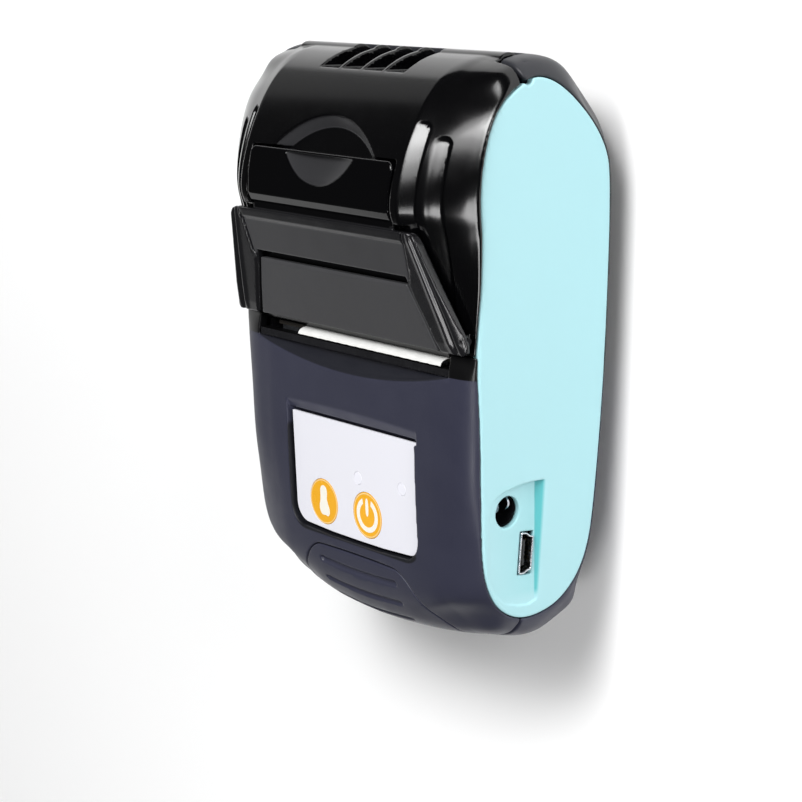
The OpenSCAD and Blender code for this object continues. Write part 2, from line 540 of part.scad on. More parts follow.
// folded steel frame of the printing mechanism
module cheek(front) difference() {
    yz(30.7, 31.5, [[front, 14], [3, 10.4], [7.6, 24], [7.6, 36], [6.9, 36], [5.6, 32.6], [4.6, 32], [2.2, 32], [1.3, 33], [1.3, 36], [-8.2, 36], [front, 30]]);
}
module mechanism_frame() color("#b4b8be") difference() {
    union() {
        mirror([1, 0, 0]) cheek(-22);
        intersection() { cheek(-8.2); box([30, -9, 19], [32, 9, 40]); }
        box([-19.4, -8.2, 19], [31.5, -7.2, 36]);
        box([-31.5, -8.2, 31], [31.5, -7.2, 36]);
        box([23.6, -8.2, 19], [31.5, -0.4, 19.8]);
        mirror([1, 0, 0]) box([23.6, -5.8, 19], [31.5, -0.4, 19.8]);
    }
    both() translate([screw_x, -3, 10]) cylinder(r = 1.05, h = 20);
    xbar(mot, 2.05, -40, -30);
    for (c = [idl, drv]) xbar(c, 1, -40, -30);
    box([-33, -26, 5], [-29, -19.8, 17.5]);
}
// thermal head: ceramic bar on a heat sink, pressed on by two springs
module print_head() color("#e6e2d6") union() {
    box([-27, -1.95, 30], [27, -1.15, 36.6]);
    box([-25, -1.2, 33.4], [25, -1, 34.2]);
}
module head_heatsink() color("#a9adb3") difference() {
    box([-26, -4.2, 22], [26, -2, 36.4]);
    for (x = [-22:4:22]) box([x - 1, -4.3, 23.4], [x + 1, -3.2, 28.4]);
}
module head_springs() color("#c8ccd2") for (x = [-14, 14]) difference() {
    union() for (i = [0:5]) translate([x, -7.15 + i*0.48, 32]) rotate([-90, 0, 0]) cylinder(r = i % 2 == 0 ? 1.7 : 1.5, h = 0.5);
    translate([x, -8, 32]) rotate([-90, 0, 0]) cylinder(r = 1.1, h = 5);
}
// serrated steel strip that the paper is torn on
module tear_bar() color("#8c9096") union() {
    xz(-4.05, -2.7, concat([[-29.7, 36.9]], [[29.7, 36.9]], [for (i = [0:59]) for (q = [0, 1]) [29.7 - (i + q*0.5)*0.99, q == 0 ? 39.05 : 39.5]], [[-29.7, 39.05]]));
    box([-28, -8.6, 36.85], [28, -4, 37.4]);
}
// paper: roll on its card core, and the web up to the slot
module paper_roll() color("#f6f5f0") difference() {
    xbar(roll, roll_d/2, -roll_w/2, roll_w/2);
    xbar(roll, core_d/2 + 0.01, -40, 40);
}
module roll_core() color("#b59b74") difference() {
    xbar(roll, core_d/2, -roll_w/2 + 0.2, roll_w/2 - 0.2);
    xbar(roll, core_d/2 - 1.5, -40, 40);
}
module paper_web() color("#f8f8f4")
    yz(-28.4, 28.4, [[-0.68 - paper_t, 40.2], [-0.68, 40.2], [-0.68, 27.05], [8.9, 14.3], [8.8, 14.2], [-0.68 - paper_t, 27]]);
// reflective sensor that sees the end of the paper
module paper_sensor() color("#1c1d20") difference() {
    box([9, -6.9, 20.4], [15, -4.9, 25]);
    translate([12, -5.2, 22.6]) rotate([-90, 0, 0]) cylinder(r = 0.9, h = 2);
}

// electronics
board_z = [28, 29.2];
module main_board() color("#2f6b45") difference() {
    union() {
        box([-18.6, -45.4, board_z[0]], [31.2, -9.6, board_z[1]]);
        box([-31.2, -45.4, board_z[0]], [-18, -22.6, board_z[1]]);
    }
    box([21.4, -33.6, 27], [34, -24.6, 31]);
    both() translate([screw_x, screws[0][0], 20]) cylinder(r = 2.9, h = 20);
    both() box([screw_x - 2.9, -50, 27], [screw_x + 2.9, screws[0][0], 31]);
}
module board_parts() color("#1a1b1e") union() {
    box([-16, -21, board_z[1]], [-8, -13, board_z[1] + 1]);
    box([8, -20, board_z[1]], [20, -12, board_z[1] + 1.6]);
    box([-29, -36, board_z[1]], [-18, -24, board_z[1] + 1.8]);
    box([-4, -16, board_z[1]], [2, -11.6, board_z[1] + 4]);
}
module tact_switches() color("#d0d2d4") for (x = [feed_x, power_x]) on_label() translate([x, button_y, 0]) union() {
    translate([-3, -3, -8.3]) cube([6, 6, 3]);
    translate([0, 0, -5.5]) cylinder(r = 1.7, h = 1.4);
}
module status_leds() color("#e8f4e0") for (p = [[0.9, 1.2], [14.6, 1.6]]) on_label() translate([p[0] - 0.8, p[1] - 0.5, -8.8]) cube([1.6, 1, 0.9]);
module label_plate() color("#ececf4") difference() {
    on_label() translate([0, 0, -0.5]) linear_extrude(0.5) label_outline(0);
    for (x = [feed_x, power_x]) on_label() translate([x, button_y, -2]) cylinder(r = button_d/2 + 0.08, h = 4);
    for (p = [[0.9, 1.2], [14.6, 1.6]]) on_label() translate([p[0], p[1], -2]) cylinder(r = 1.26, h = 4);
}
module led_lenses() color("#fafafc") for (p = [[0.9, 1.2], [14.6, 1.6]]) on_label() translate([p[0], p[1], -7.4]) cylinder(r = 1.24, h = 7.4);
module button(x) on_label() translate([x, button_y, 0]) union() {
    translate([0, 0, -3.5]) cylinder(r = button_d/2, h = 3.5);
    translate([0, 0, -3.5]) cylinder(r = button_d/2 + 0.7, h = 0.7);
}
module feed_button() color("#f9b83c") button(feed_x);
module power_button() color("#f9b83c") button(power_x);

// sockets in the right-hand side
module dc_jack() color("#1a1a1c") difference() {
    box([21.6, dc[0] - 4.2, dc[1] - 4.2], [33.4, dc[0] + 4.2, dc[1] + 3.4]);
    xbar(dc, 2.85, 24, 40);
}
module dc_jack_pin() color("#d8dadd") union() {
    xbar(dc, 1.05, 24, 31.4);
    xbar(dc, 2.8, 24, 24.4);
}
module usb_frame() translate([0, usb[0], usb[1]]) rotate([-4.5, 0, 0]) children();
module usb_shell() color("#c9cdd2") difference() {
    usb_frame() box([24.4, -3.75, -1.95], [33.3, 3.75, 1.95]);
    usb_frame() box([25.2, -3.4, -1.55], [40, 3.4, 1.6]);
}
module usb_tongue() color("#1c1c1e") usb_frame() union() {
    box([25.2, -3.3, -1.5], [26.2, 3.3, 1.55]);
    box([26.1, -2.6, -0.1], [32.6, 2.6, 0.7]);
}

// power
module battery_pack() color("#4c5a68") box([-batt_w/2, -8 - batt_l, 2.6], [batt_w/2, -8, 2.6 + batt_t]);
module battery_contacts() color("#d8b45a") for (x = [-6, 0, 6]) union() {
    box([x - 1, -7.95, 5], [x + 1, -7.5, 12]);
    box([x - 1, -7.6, 10.6], [x + 1, -6.42, 11.2]);
}
// screws from the back
module case_screws() color("#8d9298") for (p = screws) both() translate([screw_x, p[0], p[1]]) difference() {
    union() { cylinder(r = 1.9, h = 1.3); translate([0, 0, 1.2]) cylinder(r = 0.95, h = p[0] == -3 ? 17.4 : 24); }
    translate([0, 0, -0.4]) cylinder(r = 0.9, h = 1.1, $fn = 6);
}

place() front_shell();
place() rear_shell();
place() side_panel_right();
place() side_panel_left();
place() paper_lid();
place() lid_inset_panel();
place() cover_opener();
place() opener_pins();
place() opener_spring();
place() lid_hinge_pins();
place() platen_brackets();
place() platen_bushes();
place() platen_shaft();
place() platen_rubber();
place() platen_gear();
place() idler_gear();
place() drive_gear();
place() motor_pinion();
place() gear_axles();
place() stepper_motor();
place() mechanism_frame();
place() print_head();
place() head_heatsink();
place() head_springs();
place() tear_bar();
place() paper_roll();
place() roll_core();
place() paper_web();
place() paper_sensor();
place() main_board();
place() board_parts();
place() tact_switches();
place() status_leds();
place() label_plate();
place() led_lenses();
place() feed_button();
place() power_button();
place() dc_jack();
place() dc_jack_pin();
place() usb_shell();
place() usb_tongue();
place() battery_pack();
place() battery_contacts();
place() battery_door();
place() case_screws();
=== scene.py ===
import bpy, bmesh, json, math, random, time
import numpy as np
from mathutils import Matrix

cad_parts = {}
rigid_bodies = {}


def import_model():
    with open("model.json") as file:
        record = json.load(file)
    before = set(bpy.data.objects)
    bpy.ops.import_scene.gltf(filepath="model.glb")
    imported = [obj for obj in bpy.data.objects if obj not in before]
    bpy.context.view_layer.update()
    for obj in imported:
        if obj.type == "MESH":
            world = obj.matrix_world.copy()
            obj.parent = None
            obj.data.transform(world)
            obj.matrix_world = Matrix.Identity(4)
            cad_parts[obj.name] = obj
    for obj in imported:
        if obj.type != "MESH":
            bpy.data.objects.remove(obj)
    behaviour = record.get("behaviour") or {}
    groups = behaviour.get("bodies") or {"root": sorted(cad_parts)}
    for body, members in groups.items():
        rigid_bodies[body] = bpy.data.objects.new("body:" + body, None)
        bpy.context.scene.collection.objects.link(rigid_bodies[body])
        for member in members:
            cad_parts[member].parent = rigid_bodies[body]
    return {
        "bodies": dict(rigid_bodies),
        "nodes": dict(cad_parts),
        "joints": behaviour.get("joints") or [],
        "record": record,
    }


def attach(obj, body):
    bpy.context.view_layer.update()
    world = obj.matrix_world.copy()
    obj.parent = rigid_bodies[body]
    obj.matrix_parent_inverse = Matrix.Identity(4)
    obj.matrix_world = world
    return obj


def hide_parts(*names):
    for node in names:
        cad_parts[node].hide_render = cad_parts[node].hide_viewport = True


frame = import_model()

import openvdb as vdb
from mathutils import Vector, Matrix

random.seed(5)
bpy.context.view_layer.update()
YS = 1.9                      # the drawing's y plus this is the row frame's y, in mm
NODES = frame["nodes"]
scene = bpy.context.scene
scene.view_settings.view_transform = "Standard"

# ================================================================ camera
def make_camera(yaw=52.6664, pitch=11.2362, focal=2313.288, at=(-8.6965, 15.633, 439.5517), y0=29.1218):
    yaw, pitch = math.radians(yaw), math.radians(pitch)
    # object axes: X right, Y up the case, Z out of its face, about the label's middle
    fw = Vector((-math.sin(yaw) * math.cos(pitch), -math.sin(pitch), -math.cos(yaw) * math.cos(pitch)))
    rt = fw.cross(Vector((0, 1, 0))).normalized()
    up = rt.cross(fw)
    c = -(rt * at[0] - up * at[1] + fw * at[2])
    m = Matrix((rt, up, -fw)).transposed().to_4x4()
    m.translation = (c + Vector((0, -y0 + YS, 38.0))) * 0.001
    cam = bpy.data.cameras.new("camera")
    cam.sensor_width = 36.0
    cam.lens = focal * 36.0 / 802.0
    cam.clip_start, cam.clip_end = 0.01, 20
    o = bpy.data.objects.new("camera", cam)
    o.matrix_world = m
    scene.collection.objects.link(o)
    scene.camera = o
    return o


make_camera()

# ================================================================ case form
# One row per point of the outline: middle (y, z), at the side panel (y, z), kind of row, bulge
K = np.array([
    [-0.3, 39.5, -0.4, 37.6, 0, 0.1], [6, 40.9, 6, 37.6, 0, 0.5], [12, 42.6, 12, 37.3, 0, 0.9], [18, 44.3, 18.1, 37.3, 0, 1],
    [22, 45.7, 22.1, 37.4, 0, 1], [25, 47, 25.1, 37.7, 0, 1], [29, 46.7, 28.8, 37.9, 0, 1], [33, 45.7, 32.4, 37.7, 0, 1],
    [37, 44.3, 36, 37.1, 0, 0.9], [41, 42.4, 39.4, 36.2, 0, 0.8], [44.5, 40.3, 42.5, 34.8, 0, 0.6], [47.9, 37.5, 44.9, 32.8, 0, 0.4],
    [50.4, 33.7, 46.6, 30.6, 6, 0.2], [51.9, 29.8, 47.7, 28.6, 6, 0.1], [52.6, 26.5, 48.5, 27, 4, 0], [52.8, 23.5, 48.8, 24.8, 4, 0],
    [52.3, 18.6, 48.1, 22, 4, 0], [50.8, 13.6, 46.3, 18.7, 5, 0], [48.4, 9, 43.8, 15.6, 2, 0], [45, 5.2, 40.9, 12.6, 2, 0],
    [41.2, 2.3, 37.6, 10.1, 2, 0], [37, 0.6, 34.6, 8.6, 2, 0], [32.5, 0, 31.2, 7.8, 2, 0], [22, 0, 22.1, 7.4, 2, 0],
    [8, 0, 8, 7.4, 2, 0], [-8, 0, -8.1, 7.7, 2, 0], [-22, 0, -22.3, 8.5, 2, 0], [-33, 0, -33.4, 9.4, 10, 0],
    [-38.5, 0, -38.4, 10.4, 10, 0], [-43.4, 0.8, -41.8, 11.7, 10, 0], [-48.2, 3, -44.6, 13.5, 10, 0], [-51.9, 6.6, -47.1, 16.1, 3, 0],
    [-54.4, 11.6, -48.7, 19, 3, 0], [-55.9, 17.6, -49.5, 22.2, 8, 0], [-56.5, 23, -49.7, 24.2, 8, 0], [-56.6, 27, -49.6, 26, 3, 0],
    [-56.3, 30, -49.1, 28, 3, 0], [-55, 33, -47.7, 30.5, 7, 0], [-52.6, 35.2, -45.7, 32.4, 7, 0], [-48.8, 37, -43.2, 33.8, 9, 0],
    [-43.4, 38, -40, 34.9, 9, 0], [-36, 38.7, -34.4, 35.6, 9, 0], [-26, 39.2, -25.3, 36.1, 1, 0], [-16, 39.5, -15.6, 36.5, 1, 0],
    [-8, 39.7, -7.9, 37.1, 1, 0], [-2.5, 39.7, -2.6, 37.5, 1, 0]])
SX = np.array([
    [0, 12, 24.5, 27.8, 30.6, 33.4, 35.9, 37.2, 36.5], [0, 12, 24.5, 28, 31.5, 33.8, 35.4, 36.2, 36.5],
    [0, 12, 22, 26, 30, 33, 35, 36.2, 36.5], [0, 12, 22, 27, 31, 33.4, 35.2, 36.2, 36.5],
    [0, 12, 24.5, 28, 31.5, 34, 35.4, 36.2, 36.5], [0, 12, 23, 27, 31, 33.6, 35.2, 36.2, 36.5],
    [0, 12, 24.5, 28, 31.5, 34, 35.6, 36.4, 36.5], [0, 12, 20, 25, 29.5, 33, 35.2, 36.2, 36.5],
    [0, 12, 22, 27, 31.5, 34, 35.6, 36.3, 36.5], [0, 12, 22, 26, 30, 33, 35.2, 36.2, 36.5],
    [0, 12, 22, 26, 30, 33, 35, 36.2, 36.5]])
SW = np.array([
    [0, 0, 0, 0.2, 0.37, 0.57, 0.78, 0.92, 1], [0, 0, 0, 0.05, 0.14, 0.3, 0.56, 0.83, 1],
    [0, 0, 0, 0.1, 0.33, 0.66, 0.85, 0.95, 1], [0, 0, 0.03, 0.12, 0.27, 0.45, 0.7, 0.87, 1],
    [0, 0, 0, 0, 0.02, 0.12, 0.36, 0.7, 1], [0, 0, 0, 0.03, 0.12, 0.32, 0.6, 0.85, 1],
    [0, 0, 0, 0.08, 0.18, 0.3, 0.55, 0.8, 1], [0, 0.03, 0.15, 0.32, 0.5, 0.7, 0.86, 0.95, 1],
    [0, 0, 0, 0.08, 0.2, 0.36, 0.6, 0.83, 1], [0, 0, 0.05, 0.16, 0.34, 0.56, 0.78, 0.92, 1],
    [0, 0, 0, 0.14, 0.44, 0.73, 0.87, 0.95, 1]])
PX, LEAN = 36.25, 0.025
HINGE, OPENER, ROLL = (50.2, 26.5), (3.2, 39.5), (26, 22.6)
SCREWS = [(-44.2, 6.2), (-3.0, 1.9)]
DC, USB = (-29.1, 29.7), (-37.5, 25.05)
FEED_X, POWER_X, BUTTON_Y, TILT = -10.7, 3.4, -5.65, 3.05
LEDS = [(0.9, 1.2), (14.6, 1.6)]


def side_x(y):
    return PX + LEAN * y


def pchip(x, y, crease=None):
    """Slopes of a monotone cubic through the points; at crease the curve may bend sharply."""
    h, d = np.diff(x), np.diff(y) / np.diff(x)
    m = np.zeros(len(x))
    for i in range(1, len(x) - 1):
        if d[i - 1] * d[i] > 0:
            w1, w2 = 2 * h[i] + h[i - 1], h[i] + 2 * h[i - 1]
            m[i] = (w1 + w2) / (w1 / d[i - 1] + w2 / d[i])
    m[0], m[-1] = d[0], d[-1]
    left, right = m.copy(), m.copy()
    if crease is not None:
        left[crease], right[crease] = d[crease - 1], d[crease]
    return left, right


def along(s, y, crease=None):
    """The curve through y at 0, 1, 2, ... read at s."""
    n = len(y)
    lo, ro = pchip(np.arange(n, dtype=float), np.asarray(y, float), crease)
    i = np.clip(np.floor(s).astype(int), 0, n - 2)
    t = s - i
    a, b, ma, mb = y[i], y[i + 1], ro[i], lo[i + 1]
    return a * (1 + 2 * t) * (1 - t) ** 2 + ma * t * (1 - t) ** 2 + b * t * t * (3 - 2 * t) - mb * t * t * (1 - t)


def case_mesh(sub_s=5, sub_k=6):
    ns = SX.shape[1]
    s = np.linspace(0, ns - 1, (ns - 1) * sub_s + 1)
    rows = []
    for yb, zb, yc, zc, kind, bulge in K:
        kind = int(kind)
        x = along(s, SX[kind], 2 if kind == 0 else None)
        x = np.where(x > 36.5, 36.5 + (x - 36.5) * bulge, x)
        w = along(s, SW[kind], 2 if kind == 0 else None)
        crown = 0.0
        if yb < -44:
            crown = (0.001 + 0.0024 * min(1, max(0, (zb - 23) / 8))) * np.minimum(x, 26) ** 2 * min(1, (-44 - yb) / 8)
        y = (1 - w) * (yb + crown) + w * yc
        z = (1 - w) * zb + w * zc
        xs = x + (side_x(y) - 36.5) * np.clip((x - 24.5) / 12, 0, 1)
        rows.append(np.stack([xs, y, z], 1))
    P = np.array(rows)                                   # rows, stations, xyz
    nk = len(P)
    # closed cubic through the rows at every station
    t = np.arange(sub_k) / sub_k
    p0, p1, p2, p3 = np.roll(P, 1, 0), P, np.roll(P, -1, 0), np.roll(P, -2, 0)
    d1, d2, d3 = (np.linalg.norm(b - a, axis=2, keepdims=True) ** 0.5 + 1e-6 for a, b in ((p0, p1), (p1, p2), (p2, p3)))
    m1 = ((p1 - p0) / d1 - (p2 - p0) / (d1 + d2) + (p2 - p1) / d2) * d2
    m2 = ((p2 - p1) / d2 - (p3 - p1) / (d2 + d3) + (p3 - p2) / d3) * d2
    Q = np.concatenate([(p1 * (1 + 2 * u) * (1 - u) ** 2 + m1 * u * (1 - u) ** 2 + p2 * u * u * (3 - 2 * u) - m2 * u * u * (1 - u))[:, None] for u in t], 1)
    Q = Q.reshape(nk * sub_k, len(s), 3)
    # soften the kinks at the rows, by distance along the outline
    for _ in range(10):
        Q = 0.25 * np.roll(Q, 1, 0) + 0.5 * Q + 0.25 * np.roll(Q, -1, 0)
    R = Q.copy()
    for _ in range(45):
        R = 0.25 * np.roll(R, 1, 0) + 0.5 * R + 0.25 * np.roll(R, -1, 0)
    w = np.clip((Q[..., 1] - 38) / 6, 0, 1) * np.clip((31 - Q[..., 2]) / 4, 0, 1) * np.clip((Q[..., 2] - 1) / 3, 0, 1)
    Q = Q + (R - Q) * w[..., None]
    Q[..., 2] = np.maximum(Q[..., 2], 0)
    n = len(Q)
    left = Q[:, ::-1] * np.array([-1, 1, 1])
    ring = np.concatenate([left, Q[:, 1:]], 1)           # from -x to +x
    m = ring.shape[1]
    V = ring.transpose(1, 0, 2).reshape(-1, 3)
    ca, cb = len(V), len(V) + 1
    V = np.vstack([V, [[-side_x(0), 0, 22], [side_x(0), 0, 22]]])
    i = np.arange(n)
    j = (i + 1) % n
    quads = np.concatenate([np.stack([r * n + i, (r + 1) * n + i, (r + 1) * n + j, r * n + j], 1) for r in range(m - 1)])
    tris = np.concatenate([np.stack([i, j, np.full(n, ca)], 1), np.stack([(m - 1) * n + j, (m - 1) * n + i, np.full(n, cb)], 1)])
    return V, tris, quads


# ================================================================ signed distance tools
H = 0.2                                                  # finest grid step, mm
ADAPT = 0.004
O4 = np.array([-40.0, -59.2, -1.6])                      # corner of the coarse grid
N4 = np.array([201, 286, 128])


def case_coarse():
    V, tris, quads = case_mesh()
    h4 = 2 * H
    pts = ((V - O4)).astype(np.float32)
    vol = np.cross(V[tris[:, 1]] - V[tris[:, 0]], V[tris[:, 2]] - V[tris[:, 0]])
    G = vdb.FloatGrid.createLevelSetFromPolygons(pts, triangles=tris.astype(np.uint32), quads=quads.astype(np.uint32),
                                                 transform=vdb.createLinearTransform(voxelSize=h4), halfWidth=11.0)
    out = np.zeros(tuple(N4), np.float32)
    G.copyToArray(out, ijk=(0, 0, 0))
    return out


def subdivide(a, axis):
    """Smooth doubling of the samples along an axis."""
    a = np.moveaxis(a, axis, 0)
    n = a.shape[0]
    out = np.empty((2 * n - 1,) + a.shape[1:], np.float32)
    out[1::2] = 0.5 * (a[:-1] + a[1:])
    out[2:-1:2] = 0.75 * a[1:-1] + 0.125 * (a[:-2] + a[2:])
    out[0], out[-1] = a[0], a[-1]
    return np.moveaxis(out, 0, axis)


CASE4 = case_coarse()
if CASE4[100, 140, 50] > 0:
    CASE4 = -CASE4


def resample(a, axis, ratio):
    """Smooth cubic reading of the samples at another spacing along an axis."""
    a = np.moveaxis(a, axis, 0)
    n = a.shape[0]
    p = np.arange(0, (n - 1) / ratio + 1e-6) * ratio
    i = np.clip(np.floor(p).astype(int), 0, n - 2)
    t = (p - i).astype(np.float32).reshape(-1, *([1] * (a.ndim - 1)))
    w = ((1 - t) ** 3 / 6, (3 * t ** 3 - 6 * t ** 2 + 4) / 6, (-3 * t ** 3 + 3 * t ** 2 + 3 * t + 1) / 6, t ** 3 / 6)
    out = sum(wk * a[np.clip(i - 1 + k, 0, n - 1)] for k, wk in enumerate(w))
    return np.moveaxis(out, 0, axis)


class Field:
    """A box of grid points with the case form's distance on it. Negative is inside."""

    def __init__(self, lo, hi, step=H):
        i0 = np.floor((np.array(lo) - O4) / (2 * H)).astype(int)
        i1 = np.ceil((np.array(hi) - O4) / (2 * H)).astype(int) + 1
        i0, i1 = np.maximum(i0, 0), np.minimum(i1, N4)
        a = CASE4[i0[0]:i1[0], i0[1]:i1[1], i0[2]:i1[2]]
        self.h = step
        for ax in range(3):
            a = subdivide(a, ax) if step == H else resample(a, ax, step / (2 * H))
        self.case = a
        self.o = O4 + i0 * 2 * H
        n = a.shape
        self.x = (self.o[0] + self.h * np.arange(n[0]))[:, None, None].astype(np.float32)
        self.y = (self.o[1] + self.h * np.arange(n[1]))[None, :, None].astype(np.float32)
        self.z = (self.o[2] + self.h * np.arange(n[2]))[None, None, :].astype(np.float32)
        self.ax = np.abs(self.x)
        # across the leaning side plane, on either side
        c, s = math.cos(math.atan(LEAN)), math.sin(math.atan(LEAN))
        self.across = self.ax * c - self.y * s + PX * (1 - c)

    def mesh(self, f, adaptivity=ADAPT):
        cap = 3 * self.h
        f = np.ascontiguousarray(np.broadcast_to(f, self.case.shape), dtype=np.float32)
        f = f.copy()
        for ax in range(3):                              # nothing reaches the edge of the box
            for e in (0, -1):
                sl = [slice(None)] * 3
                sl[ax] = e
                f[tuple(sl)] = np.maximum(f[tuple(sl)], self.h)
        g = vdb.FloatGrid(cap)
        g.copyFromArray(np.clip(f, -cap, cap))
        p, tris, quads = g.convertToPolygons(isovalue=0.0, adaptivity=adaptivity)
        p = p.astype(np.float64)
        for _ in range(3):                               # onto the true surface
            v, n = sample(f, p, self.h)
            L = np.linalg.norm(n, axis=1)
            step = np.where(L > 0.2, v / np.maximum(L, 0.2) ** 2, 0)[:, None] * n / self.h
            step = np.clip(step, -0.35, 0.35)
            p -= step
        v, n = sample(f, p, self.h)
        n /= np.maximum(np.linalg.norm(n, axis=1, keepdims=True), 1e-9)
        return p * self.h + self.o, tris, quads, n


def sample(f, p, h):
    """Value and slope of the field at points given in grid steps."""
    n = np.array(f.shape)
    q = np.clip(p, 1.001, n - 2.001)
    i = np.floor(q).astype(np.int64)
    t = q - i
    flat = f.ravel()
    sy, sx = n[2], n[1] * n[2]
    base = i[:, 0] * sx + i[:, 1] * sy + i[:, 2]
    val = np.zeros(len(p))
    grad = np.zeros((len(p), 3))
    for a in (0, 1):
        for b in (0, 1):
            for c in (0, 1):
                w = (t[:, 0] if a else 1 - t[:, 0]) * (t[:, 1] if b else 1 - t[:, 1]) * (t[:, 2] if c else 1 - t[:, 2])
                k = base + a * sx + b * sy + c
                val += w * flat[k]
                grad[:, 0] += w * (flat[k + sx] - flat[k - sx])
                grad[:, 1] += w * (flat[k + sy] - flat[k - sy])
                grad[:, 2] += w * (flat[k + 1] - flat[k - 1])
    return val, grad / (2 * h)


def both(a, b, r=0.25):
    """Inside both, with the edge rounded to radius r."""
    if r <= 0:
        return np.maximum(a, b)
    u, v = np.maximum(a + r, 0), np.maximum(b + r, 0)
    return np.minimum(np.maximum(a, b), -r) + np.sqrt(u * u + v * v)


def either(a, b, r=0.0):
    if r <= 0:
        return np.minimum(a, b)
    u, v = np.maximum(r - a, 0), np.maximum(r - b, 0)
    return np.maximum(np.minimum(a, b), r) - np.sqrt(u * u + v * v)


def cut(a, b, r=0.2):
    return both(a, -b, r)


def poly(pts, A, B):
    """Distance to a closed outline in the plane of A and B."""
    P = np.asarray(pts, float)
    A, B = np.broadcast_arrays(A.astype(np.float64), B.astype(np.float64))
    d = np.full(A.shape, 1e9)
    inside = np.zeros(A.shape, bool)
    for (x1, y1), (x2, y2) in zip(P, np.roll(P, -1, 0)):
        ex, ey = x2 - x1, y2 - y1
        wx, wy = A - x1, B - y1
        t = np.clip((wx * ex + wy * ey) / max(ex * ex + ey * ey, 1e-12), 0, 1)
        d = np.minimum(d, (wx - ex * t) ** 2 + (wy - ey * t) ** 2)
        cond = (y1 > B) != (y2 > B)
        if ey != 0:
            inside ^= cond & (A < x1 + (B - y1) * ex / ey)
    d = np.sqrt(d)
    return np.where(inside, -d, d).astype(np.float32)


def arc(cx, cy, r, a0, a1, n=10):
    return [(cx + r * math.cos(math.radians(a0 + (a1 - a0) * i / n)), cy + r * math.sin(math.radians(a0 + (a1 - a0) * i / n))) for i in range(n + 1)]


def slab(v, lo, hi):
    return np.maximum(lo - v, v - hi)


def boxf(F, a, b, r=0.0):
    return both(both(slab(F.x, a[0], b[0]), slab(F.y, a[1], b[1]), r), slab(F.z, a[2], b[2]), r)


def rod(F, c, r):
    """A bar along X at c = (y, z)."""
    return np.hypot(F.y - c[0], F.z - c[1]) - r


def post(F, x, y, r):
    return np.hypot(F.ax - x, F.y - y) - r


def side_outline(d=0.0):
    """The side panel's outline, smooth, moved inward by d."""
    P = K[:, 2:4]
    n = len(P)
    t = np.arange(6) / 6
    p0, p1, p2, p3 = np.roll(P, 1, 0), P, np.roll(P, -1, 0), np.roll(P, -2, 0)
    Q = np.concatenate([(0.5 * ((2 * p1) + (p2 - p0) * u + (2 * p0 - 5 * p1 + 4 * p2 - p3) * u * u + (3 * p1 - p0 - 3 * p2 + p3) * u ** 3))[:, None] for u in t], 1).reshape(-1, 2)
    for _ in range(10):
        Q = 0.25 * np.roll(Q, 1, 0) + 0.5 * Q + 0.25 * np.roll(Q, -1, 0)
    T = np.roll(Q, -1, 0) - np.roll(Q, 1, 0)
    T /= np.linalg.norm(T, axis=1, keepdims=True)
    # K runs clockwise seen from +X, so the inside lies to its right
    return Q + d * np.stack([T[:, 1], -T[:, 0]], 1)


SIDE = side_outline()


def label_xy(F):
    """Coordinates on the tilted label: x, along it and off it."""
    a = math.radians(TILT)
    v, w = F.y + 29.15, F.z - 38.0
    return F.x, v * math.cos(a) + w * math.sin(a), -v * math.sin(a) + w * math.cos(a)


LW, LH, LR = 19.8, 11.25, 3.75


def label_outline(g=0.0):
    w, t = LW + g, LH + g
    return ([(w, t), (-w, t)] + arc(-w + LR, -t + 0.4 + LR, LR, 180, 262, 8) + [(-8, -t + 0.05), (0, -t), (8, -t + 0.05)]
            + arc(w - LR, -t + 0.4 + LR, LR, 278, 360, 8))


def grip_plan(g=0.0):
    right = [(11.6, -43.2 + g), (13.6 + g, -43.8), (15.6 + g, -45.2), (17.4 + g, -47.4), (19.2 + g, -50), (21 + g, -52.4), (22.3 + g, -54), (22.3 + g, -60)]
    P = [(-x, y) for x, y in right][::-1] + right
    return P[::-1]


def door_zone(F, g):
    """The space that the battery door takes, grown by g."""
    f = both(poly(smooth_open(grip_plan(g)), F.x[:, :, 0], F.y[0, :, 0][None, :])[:, :, None], 24 - F.z, 0)
    f = np.minimum(f, boxf(F, (-22.3 - g, -60, -5), (22.3 + g, -49.4, 30)))
    f = np.minimum(f, boxf(F, (-22.3 - g, -60, -5), (22.3 + g, -6 + g, 1.85)))
    return np.minimum(f, boxf(F, (-22.3 - g, -60, -5), (22.3 + g, -42 + g, 8)))


def smooth_open(P, n=3):
    """Rounds the corners of an outline."""
    P = np.asarray(P, float)
    for _ in range(n):
        a, b = P, np.roll(P, -1, 0)
        P = np.stack([0.75 * a + 0.25 * b, 0.25 * a + 0.75 * b], 1).reshape(-1, 2)
    return P


